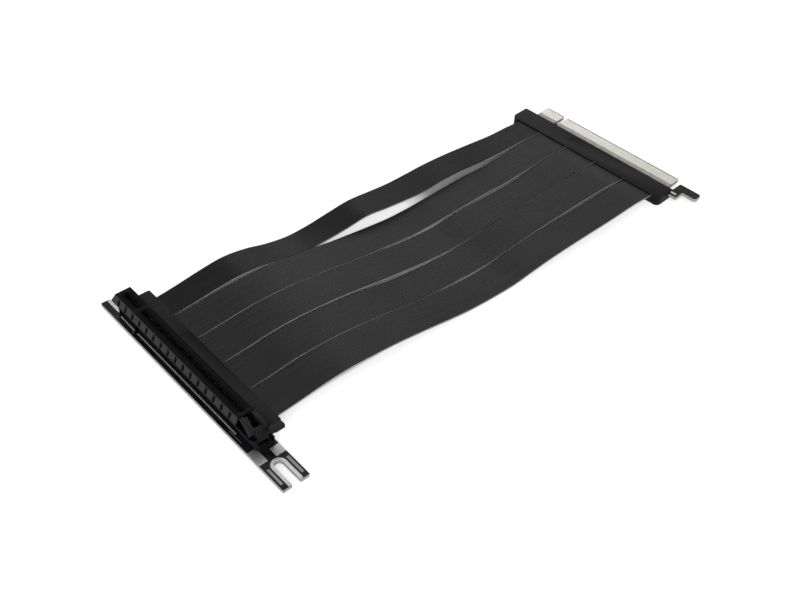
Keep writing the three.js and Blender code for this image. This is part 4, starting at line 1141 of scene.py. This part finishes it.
@dataclass
class PlugEnd:
    """The edge plug's board and the moulding over the ribbons' ends."""

    place: Place
    board_thickness: float = 1.6
    short_tongue: float = 11.15
    long_tongue: float = 71.15
    notch: float = 1.9
    notch_depth: float = 8.0
    tongue_depth: float = 8.9
    finger_width: float = 0.7
    finger_length: float = 5.6
    finger_tip: float = 0.6
    first_finger: float = 0.6
    finger_foot: float = 0.02
    moulding_round: float = 0.3
    plating: float = 0.04

    def board(self, finishes: Finishes) -> None:
        """The edge board with its key notch and tail hook."""
        lead = 0.5
        long_left = self.short_tongue + self.notch
        long_right = long_left + self.long_tongue
        hook_round = 1.3
        turn = self.notch / 2
        outline = (
            [(-4.5, -17.3), (86.5, -17.3), (86.5, -13.2), (91.7, -13.2), (91.7, -8.2), (92.2, -7.7)]
            + arc(99.2 - hook_round, -7.7 + hook_round, hook_round, 270, 360, 6)
            + arc(99.2 - hook_round, -2.6 - hook_round, hook_round, 0, 90, 6)
            + [(87.5, -2.6), (87.0, -3.1), (87.0, -self.tongue_depth), (long_right, -self.tongue_depth)]
            + [(long_right, -lead), (long_right - lead, 0), (long_left + lead, 0), (long_left, -lead)]
            + arc(self.short_tongue + turn, turn - self.notch_depth, turn, 0, -180, 12)
            + [(self.short_tongue, -lead), (self.short_tongue - lead, 0), (lead, 0), (0, -lead)]
            + [(0, -11.7), (-4.5, -11.7)]
        )
        sketch = Sketch(self.place)
        sketch.prism(outline, -self.board_thickness, 0, 0, 1)
        inset = 0.15
        under = -self.board_thickness
        for left, right in ((0, self.short_tongue), (long_left, long_right)):
            for low, high in ((-0.01, 0.02), (under - 0.005, under + 0.01)):
                corner = (left + inset, -self.tongue_depth, low)
                sketch.block(corner, (right - inset, -lead, high), 1)
        piece = sketch.finish("plug_board_laminate", finishes.mask, finishes.plug_edge)
        settle(piece, Body.CABLE, Slot.BOARD, "plug_board")

    def marks(self, finishes: Finishes) -> None:
        """The bare pads and ticks on the plug board."""
        sketch = Sketch(self.place)
        ring = arc(87.6, -11.1, 0.55, 90, 270, 8) + arc(90.0, -11.1, 0.55, -90, 90, 8)
        sketch.prism(ring, MARK_LOW, MARK_HIGH)
        sketch.prism(arc(87.1, -12.3, 0.3, 0, 330, 12), MARK_LOW, MARK_HIGH)
        for x, y in ((19.6, -7.1), (32.8, -6.9), (50.2, -6.9)):
            sketch.block((x, y - 0.6, MARK_LOW), (x + 1.6, y - 0.3, MARK_HIGH))
        piece = sketch.finish("plug_board_pads", finishes.tin)
        settle(piece, Body.CABLE, Slot.METAL)

    def fingers(self, rows: ContactRow, finishes: Finishes) -> None:
        """The plated contact fingers on both faces of the tongues."""
        half = self.finger_width / 2
        tip, base = -self.finger_tip, -self.finger_tip - self.finger_length
        mid = self.board_thickness / 2
        low, high = mid - self.finger_foot, mid + self.plating
        rings = [[(x, y, z) for x, z in rectangle(-half, low, half, high)] for y in (base, tip)]
        first = (self.first_finger, 0.0, -mid)
        rows.bake("contact_fingers", rings, finishes.gold, self.place, first, (0, 0, 0), (0, 180, 0))

    def build(self, rows: ContactRow, finishes: Finishes) -> None:
        """Builds the plug end."""
        self.board(finishes)
        self.fingers(rows, finishes)
        self.marks(finishes)
        shell = finishes.moulding_grey
        soften("plug_moulding", "plug_moulding_shell", self.moulding_round, shell, Body.CABLE, Slot.MOULDING)
        dress_solder_ends("plug", finishes.tin)


# The studio


@dataclass
class Studio:
    """Camera, floor and plain soft light."""

    slot: Place
    eye: Point = (340.26, -155.08, 346.78)
    azimuth: float = 47.332
    elevation: float = 43.263
    roll: float = 2.411
    lens: float = 52.36
    floor_size: float = 6.0
    glow: float = 0.56
    surround: float = 0.45
    # The edges of the painted shadow under the ribbons, in millimetres of the slot end.
    dark_left: float = 19.5
    dark_drift: float = 4.1 / 219.2
    dark_right: float = 85.5
    first_left: float = 4.0
    first_gap: tuple[float, float] = (92.0, 150.0)
    dark_ends: tuple[float, float] = (9.0, 236.0)

    def camera(self) -> None:
        """Sets the camera at the photograph's angle."""
        data = bpy.data.cameras.new("camera")
        data.lens = self.lens
        data.sensor_width = 36.0
        data.clip_start = 0.01
        data.clip_end = 20.0
        camera = bpy.data.objects.new("camera", data)
        bpy.context.scene.collection.objects.link(camera)
        turn = (
            Matrix.Rotation(math.radians(self.azimuth), 4, "Z")
            @ Matrix.Rotation(math.radians(90 - self.elevation), 4, "X")
            @ Matrix.Rotation(math.radians(self.roll), 4, "Z")
        )
        camera.matrix_world = Matrix.Translation(self.slot.point(*self.eye)) @ turn
        bpy.context.scene.camera = camera

    def _painted_shadow_under_ribbons(self, make: Palette) -> Wire:
        """A painted shadow: the region under the ribbons that lie side by side, where the floor loses its
        glow and keeps only the shade that the lamps give.
        """
        where = make.node("ShaderNodeTexCoord", {}, {}).outputs["Object"]
        parts = make.node("ShaderNodeSeparateXYZ", {}, {0: Wire(make.tree, where)})
        low = self.slot.point(0, 0, 0)
        x = Wire(make.tree, parts.outputs[0]) * (1 / MM) - low.x / MM
        y = Wire(make.tree, parts.outputs[1]) * (1 / MM) - low.y / MM
        drift = (y - Ribbons.slot_face) * self.dark_drift
        opens, closes = self.first_gap
        near, far = self.dark_ends
        closed = x.above(self.first_left, 1.0) * (1.0 - y.above(opens, 6.0) + y.above(closes, 8.0))
        four = (x - drift).above(self.dark_left, 1.0)
        inside = 1.0 - x.above(self.dark_right, 1.0)
        along = y.above(near, 1.0) * (1.0 - y.above(far, 1.0))
        return (four + closed - four * closed) * inside * along

    def floor(self) -> None:
        """A pale floor that the camera and reflections see as white, with the object's shadow, and a painted
        shadow under the ribbons where the glow is taken away.
        """
        half = self.floor_size / 2
        mesh = bpy.data.meshes.new("floor")
        corners = [(-half, -half, 0), (half, -half, 0), (half, half, 0), (-half, half, 0)]
        mesh.from_pydata(corners, [], [(0, 1, 2, 3)])
        make = Palette("pale floor")
        path = make.node("ShaderNodeLightPath", {}, {})
        seen = Wire(make.tree, path.outputs["Is Camera Ray"]) + Wire(make.tree, path.outputs["Is Glossy Ray"])
        # The glow is taken away under the ribbons: a painted shadow.
        seen = seen * (1.0 - self._painted_shadow_under_ribbons(make))
        make.feed(
            Base_Color=(0.9, 0.9, 0.9, 1.0),
            Roughness=0.9,
            Specular_IOR_Level=0.0,
            Emission_Color=make.mix(seen, grey(0.0), grey(self.glow)),
            Emission_Strength=1.0,
        )
        finish_object("floor", mesh, make.material)

    def world(self) -> None:
        """A white surround."""
        world = bpy.data.worlds.new("white surround")
        world.use_nodes = True
        tree = world.node_tree
        tree.nodes.clear()
        path = tree.nodes.new("ShaderNodeLightPath")
        seen, clear, shiny = (
            Wire(tree, path.outputs[f"Is {ray} Ray"]) for ray in ("Camera", "Transmission", "Glossy")
        )
        strength = self.surround + (seen + clear + shiny) * (1.0 - self.surround)
        sky = {"Color": (1, 1, 1, 1), "Strength": strength}
        background = add_node(tree, "ShaderNodeBackground", {}, sky)
        add_node(tree, "ShaderNodeOutputWorld", {}, {"Surface": background.outputs[0]})
        bpy.context.scene.world = world

    def lamp(self, name: str, spot: Point, aim: Point, size: float, power: float) -> None:
        """One square soft light.

        Args:
            name: its name.
            spot: where it hangs, in metres.
            aim: what it faces.
            size: the length of its side.
            power: its power in watts.
        """
        data = bpy.data.lights.new(name, "AREA")
        data.size = size
        data.energy = power
        lamp = bpy.data.objects.new(name, data)
        bpy.context.scene.collection.objects.link(lamp)
        lamp.location = spot
        lamp.rotation_euler = (Vector(aim) - Vector(spot)).to_track_quat("-Z", "Y").to_euler()

    def build(self) -> None:
        """Sets up floor, surround and lights."""
        self.floor()
        self.world()
        self.lamp("front light", (0.7, -0.75, 0.42), (0, 0, 0), 0.8, 8.0)
        self.lamp("sheen light", (-0.75, 0.7, 1.0), (0, 0, 0), 0.6, 4.0)


def places() -> tuple[Place, Place]:
    """Finds both ends' places from the CAD boards.

    Returns:
        The slot end's place and the plug end's.
    """
    first_corner = (10.1, 6.3)
    land = 0.08
    plug_shift = (6.7, 253.6)
    plug_turn = 3.7
    low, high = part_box("slot_board")
    slot = Place(Vector((low.x + first_corner[0] * MM, low.y + first_corner[1] * MM, high.z - land * MM)))
    plug_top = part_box("plug_board")[1].z
    origin = Vector((slot.origin.x + plug_shift[0] * MM, slot.origin.y + plug_shift[1] * MM, plug_top))
    return slot, Place(origin, math.radians(plug_turn))


def main() -> None:
    """Builds the cable's looks piece by piece and the studio round it."""
    logging.basicConfig(level=logging.INFO, format="%(name)s: %(message)s")
    bpy.context.scene.view_settings.view_transform = "Standard"
    slot, plug = places()
    studio = Studio(slot)
    studio.camera()
    finishes = Finishes()
    Ribbons().build(slot, plug, finishes)
    rows = ContactRow()
    SlotEnd(slot).build(rows, finishes)
    PlugEnd(plug).build(rows, finishes)
    studio.build()


if __name__ == "__main__":
    main()
